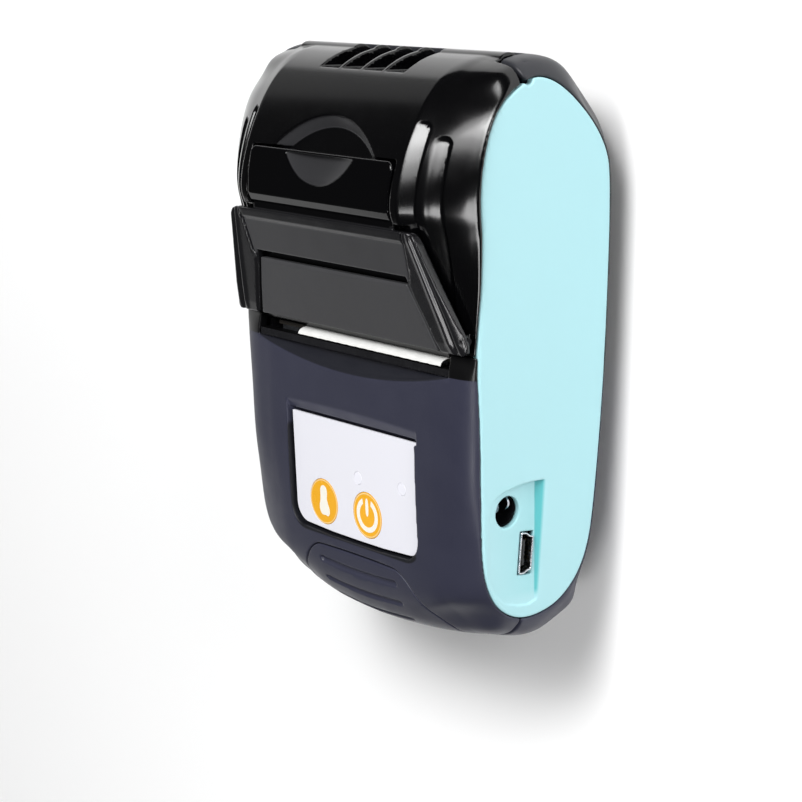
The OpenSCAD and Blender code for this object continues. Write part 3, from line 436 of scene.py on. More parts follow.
# ================================================================ materials
class Mat:
    """A principled material with a small node helper."""

    def __init__(self, name):
        self.m = bpy.data.materials.new(name)
        self.m.use_nodes = True
        self.t = self.m.node_tree
        self.b = next(n for n in self.t.nodes if n.type == "BSDF_PRINCIPLED")
        self.out = next(n for n in self.t.nodes if n.type == "OUTPUT_MATERIAL")
        self.co = None

    def set(self, **k):
        for a, v in k.items():
            self.b.inputs[a.replace("_", " ")].default_value = v
        return self

    def node(self, kind, **k):
        n = self.t.nodes.new("ShaderNode" + kind)
        for a, v in k.items():
            setattr(n, a, v)
        return n

    def link(self, a, b):
        self.t.links.new(a, b)

    def obj(self):
        if self.co is None:
            self.co = self.node("TexCoord").outputs["Object"]
        return self.co

    def noise(self, scale, detail=3, rough=0.5, dist=0.0, stretch=None):
        n = self.node("TexNoise")
        n.inputs["Scale"].default_value = scale
        n.inputs["Detail"].default_value = detail
        n.inputs["Roughness"].default_value = rough
        n.inputs["Distortion"].default_value = dist
        src = self.obj()
        if stretch:
            mp = self.node("Mapping")
            mp.inputs["Scale"].default_value = stretch
            self.link(src, mp.inputs["Vector"])
            src = mp.outputs["Vector"]
        self.link(src, n.inputs["Vector"])
        return n.outputs["Fac"]

    def ramp(self, fac, stops, interp="LINEAR"):
        r = self.node("ValToRGB")
        r.color_ramp.interpolation = interp
        el = r.color_ramp.elements
        while len(el) < len(stops):
            el.new(0.5)
        for e, (p, c) in zip(el, stops):
            e.position = p
            e.color = tuple(c) + (1,) if len(c) == 3 else tuple(c)
        self.link(fac, r.inputs["Fac"])
        return r.outputs["Color"]

    def mapr(self, v, a, b, c, d):
        n = self.node("MapRange")
        for i, x in zip(("From Min", "From Max", "To Min", "To Max"), (a, b, c, d)):
            n.inputs[i].default_value = x
        self.link(v, n.inputs["Value"])
        return n.outputs["Result"]

    def math(self, op, a, b=0.0, c=None):
        n = self.node("Math", operation=op)
        for i, v in enumerate((a, b) if c is None else (a, b, c)):
            if isinstance(v, (int, float)):
                n.inputs[i].default_value = v
            else:
                self.link(v, n.inputs[i])
        return n.outputs[0]

    def mix(self, fac, a, b):
        n = self.node("Mix", data_type="RGBA")
        if isinstance(fac, (int, float)):
            n.inputs[0].default_value = fac
        else:
            self.link(fac, n.inputs[0])
        for i, v in ((6, a), (7, b)):
            if isinstance(v, (tuple, list)):
                n.inputs[i].default_value = tuple(v) + (1,)
            else:
                self.link(v, n.inputs[i])
        return n.outputs[2]

    def bump(self, h, strength=0.1, dist=0.0002):
        n = self.node("Bump")
        n.inputs["Strength"].default_value = strength
        n.inputs["Distance"].default_value = dist
        self.link(h, n.inputs["Height"])
        self.link(n.outputs["Normal"], self.b.inputs["Normal"])
        return self

    def color(self, c):
        self.link(c, self.b.inputs["Base Color"])
        return self

    def rough(self, c):
        self.link(c, self.b.inputs["Roughness"])
        return self


def srgb(h):
    h = h.lstrip("#")
    v = [int(h[i:i + 2], 16) / 255 for i in (0, 2, 4)]
    return tuple(x / 12.92 if x <= 0.04045 else ((x + 0.055) / 1.055) ** 2.4 for x in v)


def shade(c, k):
    return tuple(min(1, x * k) for x in c)


MATS = {}


def plastic(name, col, rough, vary=0.06, grain=2600, bump=0.10, dist=0.00004, spec=0.5, coat=0.0, coat_rough=0.03, blotch=38, rvary=0.05):
    """Moulded plastic: faint blotches of colour, fine grain, uneven gloss."""
    M = Mat(name)
    a = M.noise(blotch, 4, 0.55)
    g = M.noise(grain, 2, 0.5)
    M.color(M.ramp(a, [(0.3, shade(col, 1 - vary)), (0.72, shade(col, 1 + vary))]))
    M.rough(M.mapr(M.noise(blotch * 4, 3, 0.6), 0.3, 0.7, max(0.02, rough - rvary), rough + rvary))
    M.bump(g, bump, dist)
    M.set(Specular_IOR_Level=spec)
    if coat:
        M.set(Coat_Weight=coat, Coat_Roughness=coat_rough)
    MATS[name] = M.m
    return M


def metal(name, col, rough, brushed=None, vary=0.08, bump=0.08, dist=0.00003):
    M = Mat(name)
    M.set(Metallic=1.0)
    s = M.noise(900, 4, 0.6, stretch=brushed or (1, 1, 1))
    M.color(M.ramp(M.noise(120, 3), [(0.3, shade(col, 1 - vary)), (0.7, shade(col, 1 + vary))]))
    M.rough(M.mapr(s, 0.3, 0.7, max(0.05, rough - 0.1), rough + 0.12))
    M.bump(s, bump, dist)
    MATS[name] = M.m
    return M


plastic("case_navy", srgb("#2e2f3e"), 0.42, vary=0.05, grain=3800, bump=0.22, dist=0.00005, spec=0.45)
plastic("case_back", srgb("#232429"), 0.44, vary=0.05, grain=3800, bump=0.22, dist=0.00005, spec=0.45)
plastic("panel_aqua", srgb("#a1ccd2"), 0.34, vary=0.015, grain=3000, bump=0.08, dist=0.00003, spec=0.4)
plastic("opener_gloss", srgb("#171719"), 0.22, vary=0.1, grain=700, bump=0.02, dist=0.00006, spec=0.5, rvary=0.03)
plastic("band_satin", srgb("#343436"), 0.33, vary=0.06, grain=3400, bump=0.14, dist=0.00004, spec=0.45)
plastic("inset_grey", srgb("#3a3a3c"), 0.45, vary=0.05, grain=3600, bump=0.2, dist=0.00005, spec=0.4)
plastic("label_white", srgb("#dddde4"), 0.36, vary=0.003, grain=2400, bump=0.05, dist=0.00002, spec=0.4)
plastic("amber", srgb("#e6a728"), 0.3, vary=0.04, grain=2400, bump=0.05, dist=0.00002, spec=0.4)
plastic("print_white", srgb("#ece9de"), 0.35, vary=0.01, grain=2600, bump=0.04, dist=0.00002)
plastic("print_pale", srgb("#ecc987"), 0.35, vary=0.02, grain=2600, bump=0.04, dist=0.00002)
plastic("lens", srgb("#e4e4ec"), 0.16, vary=0.01, grain=1500, bump=0.02, dist=0.00002)
plastic("black_plastic", srgb("#121214"), 0.32, vary=0.1, grain=2600, bump=0.12)
plastic("inner_black", srgb("#141416"), 0.5, vary=0.1, grain=2800, bump=0.2, dist=0.00006)
plastic("natural_plastic", srgb("#cfcab8"), 0.4, vary=0.04)
plastic("gear_plastic", srgb("#e9e5d6"), 0.36, vary=0.03, spec=0.45)
plastic("platen_rubber", srgb("#26272a"), 0.62, vary=0.12, grain=4200, bump=0.35, dist=0.00006, spec=0.35)
plastic("board_green", srgb("#1f5a37"), 0.32, vary=0.14, grain=1500, bump=0.1, blotch=240)
plastic("battery_wrap", srgb("#3d4a5c"), 0.34, vary=0.05, grain=900, bump=0.06)
# painted shade: the print head is coloured dark, so it reads as the shaded gap beside the paper
plastic("ceramic", srgb("#383531"), 0.3, vary=0.04, grain=1800, bump=0.08)
metal("steel", srgb("#b9bdc4"), 0.22, brushed=(14, 1, 1))
metal("sheet_steel", srgb("#a9adb2"), 0.34, brushed=(1, 1, 12))
# dark steel for the tear bar; also worn by the opener pins as painted shade, so their ends show no glint at the arm
# tips
metal("tear_steel", srgb("#1e1e20"), 0.5, brushed=(18, 1, 1), vary=0.15)
metal("motor_can", srgb("#8f959b"), 0.36, brushed=(10, 1, 1))
metal("switch_metal", srgb("#c3c6ca"), 0.32)
metal("socket_metal", srgb("#c3c7cc"), 0.24)
metal("brass", srgb("#d4b25c"), 0.3)
metal("aluminium", srgb("#a8acb2"), 0.38, brushed=(1, 1, 10))

def over(M, mask, col, rough=None, old=None):
    """Lays another colour and gloss over the plastic where mask is 1."""
    b = M.b.inputs["Base Color"]
    src = b.links[0].from_socket
    M.link(M.mix(mask, src, col), b)
    if rough is not None:
        r = M.b.inputs["Roughness"]
        src = r.links[0].from_socket
        k = M.node("Mix", data_type="FLOAT")
        M.link(mask, k.inputs[0])
        M.link(src, k.inputs[2])
        k.inputs[3].default_value = rough
        M.link(k.outputs[0], r)


def axis(M, i):
    """A coordinate in millimetres in the drawing frame."""
    n = M.node("SeparateXYZ")
    M.link(M.obj(), n.inputs[0])
    return M.math("SUBTRACT", M.math("MULTIPLY", n.outputs[i], 1000.0), YS if i == 1 else 0.0)


def ramp01(M, v, a, b):
    return M.mapr(v, a, b, 0.0, 1.0)


def circle_dist(M, cy, scale=1.0):
    dy = M.math("SUBTRACT", axis(M, 1), cy)
    return M.math("SQRT", M.math("ADD", M.math("MULTIPLY", axis(M, 0), axis(M, 0)), M.math("MULTIPLY", dy, dy)))


def times(M, *v):
    out = v[0]
    for x in v[1:]:
        out = M.math("MULTIPLY", out, x)
    return out


M = plastic("case_navy_front", srgb("#2e2f3e"), 0.42, vary=0.05, grain=3800, bump=0.22, dist=0.00005, spec=0.45)
# painted shade: the concave sweep under the tear bar is coloured a darker navy, standing for the shade that the lid and
# tear bar throw into it
edge = M.math("SUBTRACT", 119.0, M.math("SQRT", M.math("SUBTRACT", 126.8 ** 2, M.math("MULTIPLY", axis(M, 0), axis(M, 0)))))
past = ramp01(M, M.math("SUBTRACT", axis(M, 1), edge), -0.12, 0.12)
near = ramp01(M, M.math("ABSOLUTE", axis(M, 0)), 30.0, 29.8)
high = ramp01(M, axis(M, 2), 36.0, 36.2)
over(M, times(M, past, near, high), srgb("#15161e"))
# painted shade: the shell's corner blocks at both ends of the paper slot, by the lid's edge, are coloured near-black
over(M, times(M, ramp01(M, axis(M, 1), -4.12, -4.0), high), srgb("#070708"), 0.3)
# the label's recess: painted shade, a dark band on the shell along the recess's left and lower sides
ax_, ay_ = M.math("ABSOLUTE", axis(M, 0)), M.math("ABSOLUTE", M.math("ADD", axis(M, 1), 29.15))
px_, py_ = M.math("MAXIMUM", M.math("SUBTRACT", ax_, 16.05), 0.0), M.math("MAXIMUM", M.math("SUBTRACT", ay_, 7.5), 0.0)
d_ = M.math("SUBTRACT", M.math("SQRT", M.math("ADD", M.math("MULTIPLY", px_, px_), M.math("MULTIPLY", py_, py_))), 3.75)
recess_shade = times(M, ramp01(M, d_, 0.95, 0.75), ramp01(M, axis(M, 1), -17.6, -18.0), ramp01(M, axis(M, 0), 19.6, 19.0))
over(M, times(M, recess_shade, high), srgb("#0f1016"), 0.5)
# painted light: the slanted upper wall of the label's recess is coloured a lighter navy, as if lit
over(M, times(M, ramp01(M, axis(M, 1), -18.0, -17.6), ramp01(M, axis(M, 1), -14.4, -14.7), ramp01(M, M.math("ABSOLUTE", axis(M, 0)), 20.7, 20.5), ramp01(M, axis(M, 2), 39.50, 39.40)), srgb("#3c3d4e"))

M = plastic("panel_aqua_sockets", srgb("#a1ccd2"), 0.34, vary=0.006, grain=3000, bump=0.08, dist=0.00003, spec=0.4)
# painted shade in the recess around the sockets: its slanted rear wall is coloured a deep aqua
low = ramp01(M, axis(M, 1), -47.0, -24.5)
rim = M.math("SUBTRACT", 22.42, M.math("MULTIPLY", low, 1.05))
inrec = times(M, ramp01(M, axis(M, 1), -46.0, -44.6), ramp01(M, axis(M, 1), -24.0, -24.2))
wall_shade = times(M, ramp01(M, axis(M, 2), 23.0, 22.8), ramp01(M, M.math("SUBTRACT", axis(M, 2), rim), -0.35, 0.25), inrec)
over(M, wall_shade, srgb("#57aaae"))
# painted shade: the recess floor is coloured a darker aqua, more so towards the rear wall
floor_shade = times(M, ramp01(M, axis(M, 2), 33.5, 24.0), ramp01(M, axis(M, 2), 22.8, 23.0), inrec)
over(M, M.math("MULTIPLY", floor_shade, 0.6), srgb("#90c6cb"))

M = plastic("tab_gloss", srgb("#020203"), 0.085, vary=0.1, grain=500, bump=0.015, dist=0.00008, spec=0.5, rvary=0.02)
over(M, times(M, ramp01(M, circle_dist(M, 40.8), 12.85, 12.65), ramp01(M, axis(M, 1), 33.6, 33.4)), srgb("#2b2b2d"), 0.3)

M = plastic("lid_gloss", srgb("#030304"), 0.15, vary=0.1, grain=500, bump=0.01, dist=0.00006, spec=0.5, rvary=0.02)
r = circle_dist(M, 17.6)
over(M, times(M, ramp01(M, r, 20.65, 20.85), ramp01(M, r, 23.1, 22.95), ramp01(M, axis(M, 1), 34.2, 34.4), ramp01(M, axis(M, 2), 38.0, 38.2)), srgb("#2c2c2e"), 0.3)

# paper, with fibres; the roll's ends show its wound layers
M = Mat("paper")
fib = M.noise(420, 5, 0.65, stretch=(1, 3, 3))
# painted shade: this paper, used for the free end in the slot, is coloured greyer than the roll's paper
M.color(M.ramp(fib, [(0.3, srgb("#cfcfcd")), (0.7, srgb("#dddddb"))]))
M.rough(M.mapr(M.noise(60, 3), 0.3, 0.7, 0.5, 0.66))
M.bump(fib, 0.12, 0.00004)
MATS["paper"] = M.m

M = Mat("roll_paper")
sep = M.node("SeparateXYZ")
M.link(M.obj(), sep.inputs[0])
dy = M.math("SUBTRACT", sep.outputs[1], (ROLL[0] + YS) / 1000)
dz = M.math("SUBTRACT", sep.outputs[2], ROLL[1] / 1000)
rad = M.math("SQRT", M.math("ADD", M.math("MULTIPLY", dy, dy), M.math("MULTIPLY", dz, dz)))
wave = M.math("SINE", M.math("MULTIPLY", M.math("ADD", rad, M.math("MULTIPLY", M.noise(90, 2), 0.0006)), 2 * math.pi / 0.00042))
end = M.math("GREATER_THAN", M.math("ABSOLUTE", sep.outputs[0]), 0.02842)
ring = M.math("MULTIPLY", M.mapr(wave, -1, 1, 0, 1), end)
fib = M.noise(420, 4, 0.6, stretch=(1, 3, 3))
M.color(M.mix(M.math("MULTIPLY", ring, 0.5), M.ramp(fib, [(0.3, srgb("#efede6")), (0.7, srgb("#faf9f4"))]), srgb("#b9b4a6")))
M.rough(M.mapr(M.noise(60, 3), 0.3, 0.7, 0.5, 0.66))
M.bump(M.math("ADD", M.math("MULTIPLY", ring, 0.8), M.math("MULTIPLY", fib, 0.2)), 0.35, 0.00006)
MATS["roll_paper"] = M.m

M = Mat("card")
fib = M.noise(300, 5, 0.7, stretch=(1, 2, 2))
M.color(M.ramp(fib, [(0.3, srgb("#8d7650")), (0.7, srgb("#b89c70"))]))
M.rough(M.mapr(fib, 0.3, 0.7, 0.6, 0.8))
M.bump(fib, 0.3, 0.00008)
MATS["card"] = M.m

# floor
M = Mat("floor_paper")
M.color(M.ramp(M.noise(3, 3), [(0.3, (0.95, 0.95, 0.95)), (0.7, (0.965, 0.965, 0.965))]))
M.rough(M.mapr(M.noise(8, 2), 0.3, 0.7, 0.75, 0.85))
M.bump(M.noise(900, 2), 0.02, 0.00005)
MATS["floor"] = M.m


# ================================================================ pieces
PIECES = {}


def finish_mesh(name, V, faces, body, mats, nodes=(), normals=None, smooth=True, slots=None):
    """V in mm in the drawing frame; faces as lists."""
    me = bpy.data.meshes.new(name)
    V = (np.asarray(V, float) + [0, YS, 0]) * 0.001
    if isinstance(faces, tuple):
        tris, quads = faces
        nt, nq = len(tris), len(quads)
        me.vertices.add(len(V))
        me.vertices.foreach_set("co", V.astype(np.float32).ravel())
        me.loops.add(nt * 3 + nq * 4)
        me.polygons.add(nt + nq)
        loops = np.concatenate([tris.ravel(), quads.ravel()]).astype(np.int32)
        me.loops.foreach_set("vertex_index", loops)
        starts = np.concatenate([np.arange(nt) * 3, nt * 3 + np.arange(nq) * 4]).astype(np.int32)
        me.polygons.foreach_set("loop_start", starts)
        me.update(calc_edges=True)
        me.validate()
    else:
        me.from_pydata([tuple(v) for v in V], [], faces)
        me.update()
    if smooth:
        me.polygons.foreach_set("use_smooth", np.ones(len(me.polygons), bool))
    for m in mats:
        me.materials.append(MATS[m])
    if slots is not None:
        me.polygons.foreach_set("material_index", np.asarray(slots, np.int32))
    if normals is not None:
        me.normals_split_custom_set_from_vertices([tuple(n) for n in normals])
    me.update()
    o = bpy.data.objects.new(name, me)
    scene.collection.objects.link(o)
    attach(o, body)
    if nodes:
        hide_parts(*nodes)
    PIECES[name] = o
    return o


def outward(V, faces, n):
    """Turns the faces so that they look the same way as the field's slope."""
    if not len(faces):
        return faces
    g = np.cross(V[faces[:, 1]] - V[faces[:, 0]], V[faces[:, 2]] - V[faces[:, 0]])
    return faces[:, ::-1] if np.median(np.einsum("ij,ij->i", g, n[faces[:, 0]])) < 0 else faces


def field_piece(name, F, f, body, mats, nodes=(), adaptivity=ADAPT, where=None):
    """where(points, normals) gives each face's material slot from its middle."""
    V, tris, quads, n = F.mesh(f, adaptivity)
    if len(tris) == 0:
        tris = np.zeros((0, 3), int)
    tris, quads = outward(V, tris, n), outward(V, quads, n)
    slots = None
    if where is not None:
        cent = np.concatenate([V[tris].mean(1), V[quads].mean(1)]) if len(tris) else V[quads].mean(1)
        cn = np.concatenate([n[tris].mean(1), n[quads].mean(1)]) if len(tris) else n[quads].mean(1)
        slots = where(cent, cn)
    return finish_mesh(name, V, (tris, quads), body, mats, nodes, n, True, slots)


# ---------------------------------------------------------------- shells
CAVITY = [(-5, 1.8), (36, 1.8), (41, 4), (45, 7), (48, 10.8), (50.2, 15.6), (51, 22), (51, 40), (-4.3, 40), (-4.3, 36.4), (-12, 35.8),
          (-42, 35.4), (-46.8, 34.2), (-50.2, 31.8), (-52.4, 28.6), (-53, 26), (-53, 21), (-52, 15.2), (-49.8, 9.4), (-47, 5.8), (-42, 3), (-38, 1.8)]


def hollow(F, wall=1.9, side=32.9):
    yz = poly(CAVITY, F.y[0], F.z[0])[None]
    return both(both(F.case + wall, yz, 0.5), F.across - side, 0.5)


def seat(F, g=0.12, depth=1.9):
    """The pocket of a side panel."""
    o = poly(side_outline(-g), F.y[0], F.z[0])[None]
    return np.maximum(o, PX - depth - F.across)


def sweep_edge(x):
    """Lower edge of the concave sweep below the tear bar."""
    return -7.8 + 126.8 - np.sqrt(126.8 ** 2 - np.minimum(np.abs(x), 60) ** 2)


def front_shell():
    F = Field((-38.5, -58.5, 25.2), (38.5, 48.5, 41.4))
    zone = poly([(-62, 26.1), (47, 26.1), (46.9, 28.9), (45.4, 31.5), (43, 33.9), (40, 35.6), (36.5, 36.7), (33, 37.4), (29, 37.6), (25, 37.4),
                 (22, 37.1), (18, 37), (12, 37.1), (6, 37.4), (0.1, 37.5), (-0.3, 60), (-62, 60)], F.y[0], F.z[0])[None]
    f = both(F.case, zone, 0.18)
    f = np.maximum(f, -hollow(F))
    f = either(f, np.maximum(both(post(F, 26.4, -44.2, 2.4), F.case + 0.3, 0), 26.2 - F.z), 0.3)
    f = cut(f, seat(F), 0.12)
    # paper slot, and the concave sweep under the tear bar
    f = cut(f, both(both(F.ax - 30, -4.15 - F.y, 0), 30 - F.z, 0), 0.15)
    arc_y = sweep_edge(F.x)
    d = np.maximum(F.y - arc_y, 0)
    floor_z = 39.85 - 1.75 * (1 - np.exp(-d / 1.3)) - 0.02 * d
    sweep = (floor_z - F.z) * 0.75
    sweep = np.maximum(np.maximum(sweep, (arc_y - F.y) * 0.9), F.ax - 29.9)
    f = cut(f, sweep, 0.16)
    # recess of the label, its slanted upper edge bowed up a little
    lx, ly, lz = label_xy(F)
    rec = np.maximum(poly(label_outline(0.14), F.x[:, :, 0], (F.y[0, :, 0])[None, :] * 1.0 + 29.15)[:, :, None], -0.56 - lz)
    f = cut(f, rec, 0.14)
    # deeper shadow gap along its left and lower sides
    P = [(x - 0.55, y - 0.5) if y < 5 else (x - 0.55, y + 0.5) for x, y in label_outline(0.14)]
    rec = np.maximum(poly(P, F.x[:, :, 0], (F.y[0, :, 0])[None, :] * 1.0 + 29.15)[:, :, None], -1.25 - lz)
    f = cut(f, np.maximum(rec, F.x - 19.0), 0.16)
    bow = 0.6 * (1 - (F.x / 20.8) ** 2)
    top = -15.1 + bow
    ramp = np.maximum((38.0 + (F.y + 18.1) * (1.85 / (top + 18.1))) - F.z, np.maximum(-18.1 - F.y, F.y - (top + 1.5)))
    ramp = both(ramp * 0.8, F.ax - 20.6 + 0.0 * F.y, 0.3)
    f = cut(f, ramp, 0.22)
    # button guides, the grip's opening
    for x in (FEED_X, POWER_X):
        f = cut(f, np.maximum(np.hypot(lx - x, ly - BUTTON_Y) - 4.6, lz + 0.1 - 8 * 0), 0.0)
    f = cut(f, door_zone(F, 0.2), 0.14)
    f = cut(f, np.maximum(post(F, 26.4, -44.2, 0.98), F.z - 32.5), 0)
    f = cut(f, boxf(F, (-28, -8.6, 36.85), (28, -4, 37.4)), 0)
    f = cut(f, np.maximum(boxf(F, (31.2, -46.2, 21.4), (35.6, -24.8, 33.4)), F.case + 1.3), 0.2)
    f = cut(f, boxf(F, (-33.4, -17.4, 20), (-31.5, 8, 36.9)), 0)
    # shadow line where the halves meet
    f = cut(f, np.maximum(np.hypot((F.z - 26.0), 0 * F.y) - 0.32, -0.55 - F.case), 0.08)
    f = cut(f, np.maximum(rod(F, HINGE, 2.9), 30.8 - F.ax), 0)
    return field_piece("front_shell_shape", F, f, "case", ["case_navy_front"], ["front_shell"])


def rear_shell():
    F = Field((-38.5, -58.8, -0.8), (38.5, 54.6, 30.4), 0.3)
    zone = poly([(-62, -3), (62, -3), (62, 23.3), (50.2, 23.3), (47.9, 25.9), (-62, 25.9)], F.y[0], F.z[0])[None]
    f = both(F.case, zone, 0.18)
    f = np.maximum(f, -hollow(F))
    f = np.maximum(f, -boxf(F, (-31, 45, 23.3), (31, 60, 30)))
    cheek = poly([(10, 4.4), (36, 5.4), (41, 8.6), (45, 13), (47, 18), (47.2, 22), (40, 32), (22, 33), (12, 28), (10, 22)], F.y[0], F.z[0])[None]
    cheek = np.maximum(both(cheek, slab(F.ax, 29.4, 30.6), 0.3), F.case + 0.5)
    cheek = np.maximum(cheek, F.z - 30)
    f = either(f, cheek, 0.4)
    f = either(f, np.maximum(boxf(F, (-21.8, -6.4, 1.5), (21.8, -5.2, 13), 0.15), F.case + 0.4), 0.3)
    p = np.minimum(np.maximum(post(F, 26.4, SCREWS[0][0], 2.6), F.z - 25.9), np.maximum(post(F, 26.4, SCREWS[1][0], 2.4), F.z - 18.9))
    f = either(f, np.maximum(p, F.case + 0.3), 0.4)
    # hinge ears, flush with the outside
    ear = np.minimum(rod(F, HINGE, 2.6), np.maximum(slab(F.y, 47.6, 60), slab(F.z, 18, 26.5)))
    ear = both(both(ear, F.case, 0.25), 31.1 - F.ax, 0.2)
    f = either(f, ear, 0.0)
    f = cut(f, seat(F), 0.12)
    f = cut(f, np.maximum(rod(F, HINGE, 0.92), slab(F.ax, 30, 35.3)), 0.1)
    f = cut(f, np.maximum(rod(F, HINGE, 2.9), F.ax - 31), 0.1)
    f = cut(f, door_zone(F, 0.2), 0.14)
    f = cut(f, np.maximum(rod(F, ROLL, 19.1), F.ax - 28.8), 0.2)
    f = cut(f, boxf(F, (-22, -50, 1), (22, -6.6, 4)), 0.1)
    for y, z in SCREWS:
        f = cut(f, np.maximum(post(F, 26.4, y, 2.1), F.z - z - 1.3), 0.25)
        f = cut(f, np.maximum(post(F, 26.4, y, 0.98), F.z - 30), 0)
    f = cut(f, np.maximum(boxf(F, (31.2, -46.2, 21.4), (35.6, -24.8, 33.4)), F.case + 1.3), 0.2)
    f = cut(f, boxf(F, (-33.4, -17.4, 7.3), (-31.5, 0.2, 30)), 0)
    return field_piece("rear_shell_shape", F, f, "case", ["case_back", "case_navy"], ["rear_shell"],
                       where=lambda c, n: (c[:, 1] < -6).astype(int))


def battery_door():
    F = Field((-24.4, -58.8, -0.8), (24.4, -5.0, 39.4))
    f = both(F.case, door_zone(F, -0.1), 0.14)
    f = either(f, boxf(F, (-23.4, -42, 0.85), (23.4, -7, 1.65), 0.1), 0)
    inner = poly([(10, 1.65), (-42.8, 1.65), (-45.6, 2.5), (-48.8, 5), (-51.4, 9), (-53.2, 14.4), (-54.1, 20.4), (-54.2, 26), (-53.2, 29.2),
                  (-51, 31.6), (-48.6, 33.2), (-45.8, 34.4), (-42.8, 35.2), (-30, 35.6), (10, 35.6)], F.y[0], F.z[0])[None]
    f = cut(f, inner, 0.1)
    # three rounded grooves across the grip
    for y, z, up in ((-46.9, 37.6, 20), (-51.0, 36.2, 34), (-54.7, 33.4, 58)):
        a = math.radians(up)
        n = (-math.sin(a), math.cos(a))
        u = (F.y - y) * math.cos(a) + (F.z - z) * math.sin(a)       # along the skin, towards the label
        v = (F.y - y) * n[0] + (F.z - z) * n[1]
        end = np.maximum(F.ax - 11.6, 0)
        cr = 0.0034 * np.minimum(F.ax, 26) ** 2
        groove = np.sqrt((F.y - y - cr) ** 2 + end * end + (F.z - z + 0.05) ** 2) - 0.66
        f = cut(f, groove, 0.07)
    f = cut(f, np.maximum(np.maximum(F.z - 0.35, -F.z - 1), np.abs(np.hypot(F.x, F.y + 20) - 5) - 0.25), 0.1)
    return field_piece("battery_door_shape", F, f, "door", ["case_navy"], ["battery_door"])


def side_panel(right):
    sgn = 1 if right else -1
    F = Field((33.8, -52.5, 5.5), (38.6, 51.5, 39.8)) if right else Field((-38.6, -52.5, 5.5), (-33.8, 51.5, 39.8))
    o = poly(side_outline(0.04), F.y[0], F.z[0])[None]
    f = both(o, slab(F.across, PX - 1.8, PX), 0.3)
    # small notch where the lid's corner meets the hinge
    f = cut(f, rod(F, (48.3, 27.6), 0.95), 0.2)
    if right:
        # recess around the sockets: it deepens towards a slanted rear wall, which is widest at the top
        low = np.clip((F.y + 47) / 22.5, 0, 1)                      # 0 at the bottom, 1 at the top
        foot = 22.85 + 0 * F.y
        rim = 22.35 - 1.05 * low
        deep = 0.30 + 0.85 * low
        t = np.clip((33.6 - F.z) / (33.6 - foot), 0, 1)
        depth = np.where(F.z > foot, 0.04 + (deep - 0.04) * t ** 0.95, deep * np.clip((F.z - rim) / (foot - rim), -0.3, 1))
        P = [(-24.1, 20.6), (-24.1, 24.5), (-24.5, 27.6), (-25.3, 31.2), (-26.6, 33.4), (-29.5, 34.2), (-41, 34.0), (-44.0, 32.6), (-46.2, 30.2), (-47.0, 27), (-47.2, 24.6), (-46.6, 22.6), (-45.4, 21.2), (-44.2, 20.6)]
        out = poly(P, F.y[0], F.z[0])[None]
        rec = both(out, (PX - depth) - F.across, 0.12)
        f = cut(f, rec, 0.14)
        f = cut(f, np.hypot(F.y - DC[0], F.z - DC[1]) - 2.95, 0.12)
        f = cut(f, usb_window(F, 0.0, True), 0.08)
    return field_piece("side_panel_%s_shape" % ("right" if right else "left"), F, f, "case", ["panel_aqua_sockets" if right else "panel_aqua"],
                       ["side_panel_right" if right else "side_panel_left"])


def usb_outline(g):
    """The data socket's outline: full width at the front, stepped in towards the rear."""
    P = [(-3.3, -1.62), (3.3, -1.62), (3.42, -0.9), (3.85, -0.2), (4.0, 0.5), (4.0, 1.62), (-4.0, 1.62), (-4.0, 0.5), (-3.85, -0.2), (-3.42, -0.9)]
    c = np.array(P)
    return c + np.sign(c) * g


def usb_axes(F):
    a = math.radians(-4.5)
    u = (F.y - USB[0]) * math.cos(a) + (F.z - USB[1]) * math.sin(a)
    v = -(F.y - USB[0]) * math.sin(a) + (F.z - USB[1]) * math.cos(a)
    return u, v


def usb_window(F, g, plain=False):
    u, v = usb_axes(F)
    if plain:
        return both(slab(u, -4.05, 4.05), slab(v, -1.7, 1.7), 0.2)
    return poly(usb_outline(g), u[0], v[0])[None]


# ---------------------------------------------------------------- lid
def face_z(y):
    return 40.06 + 0.294 * y


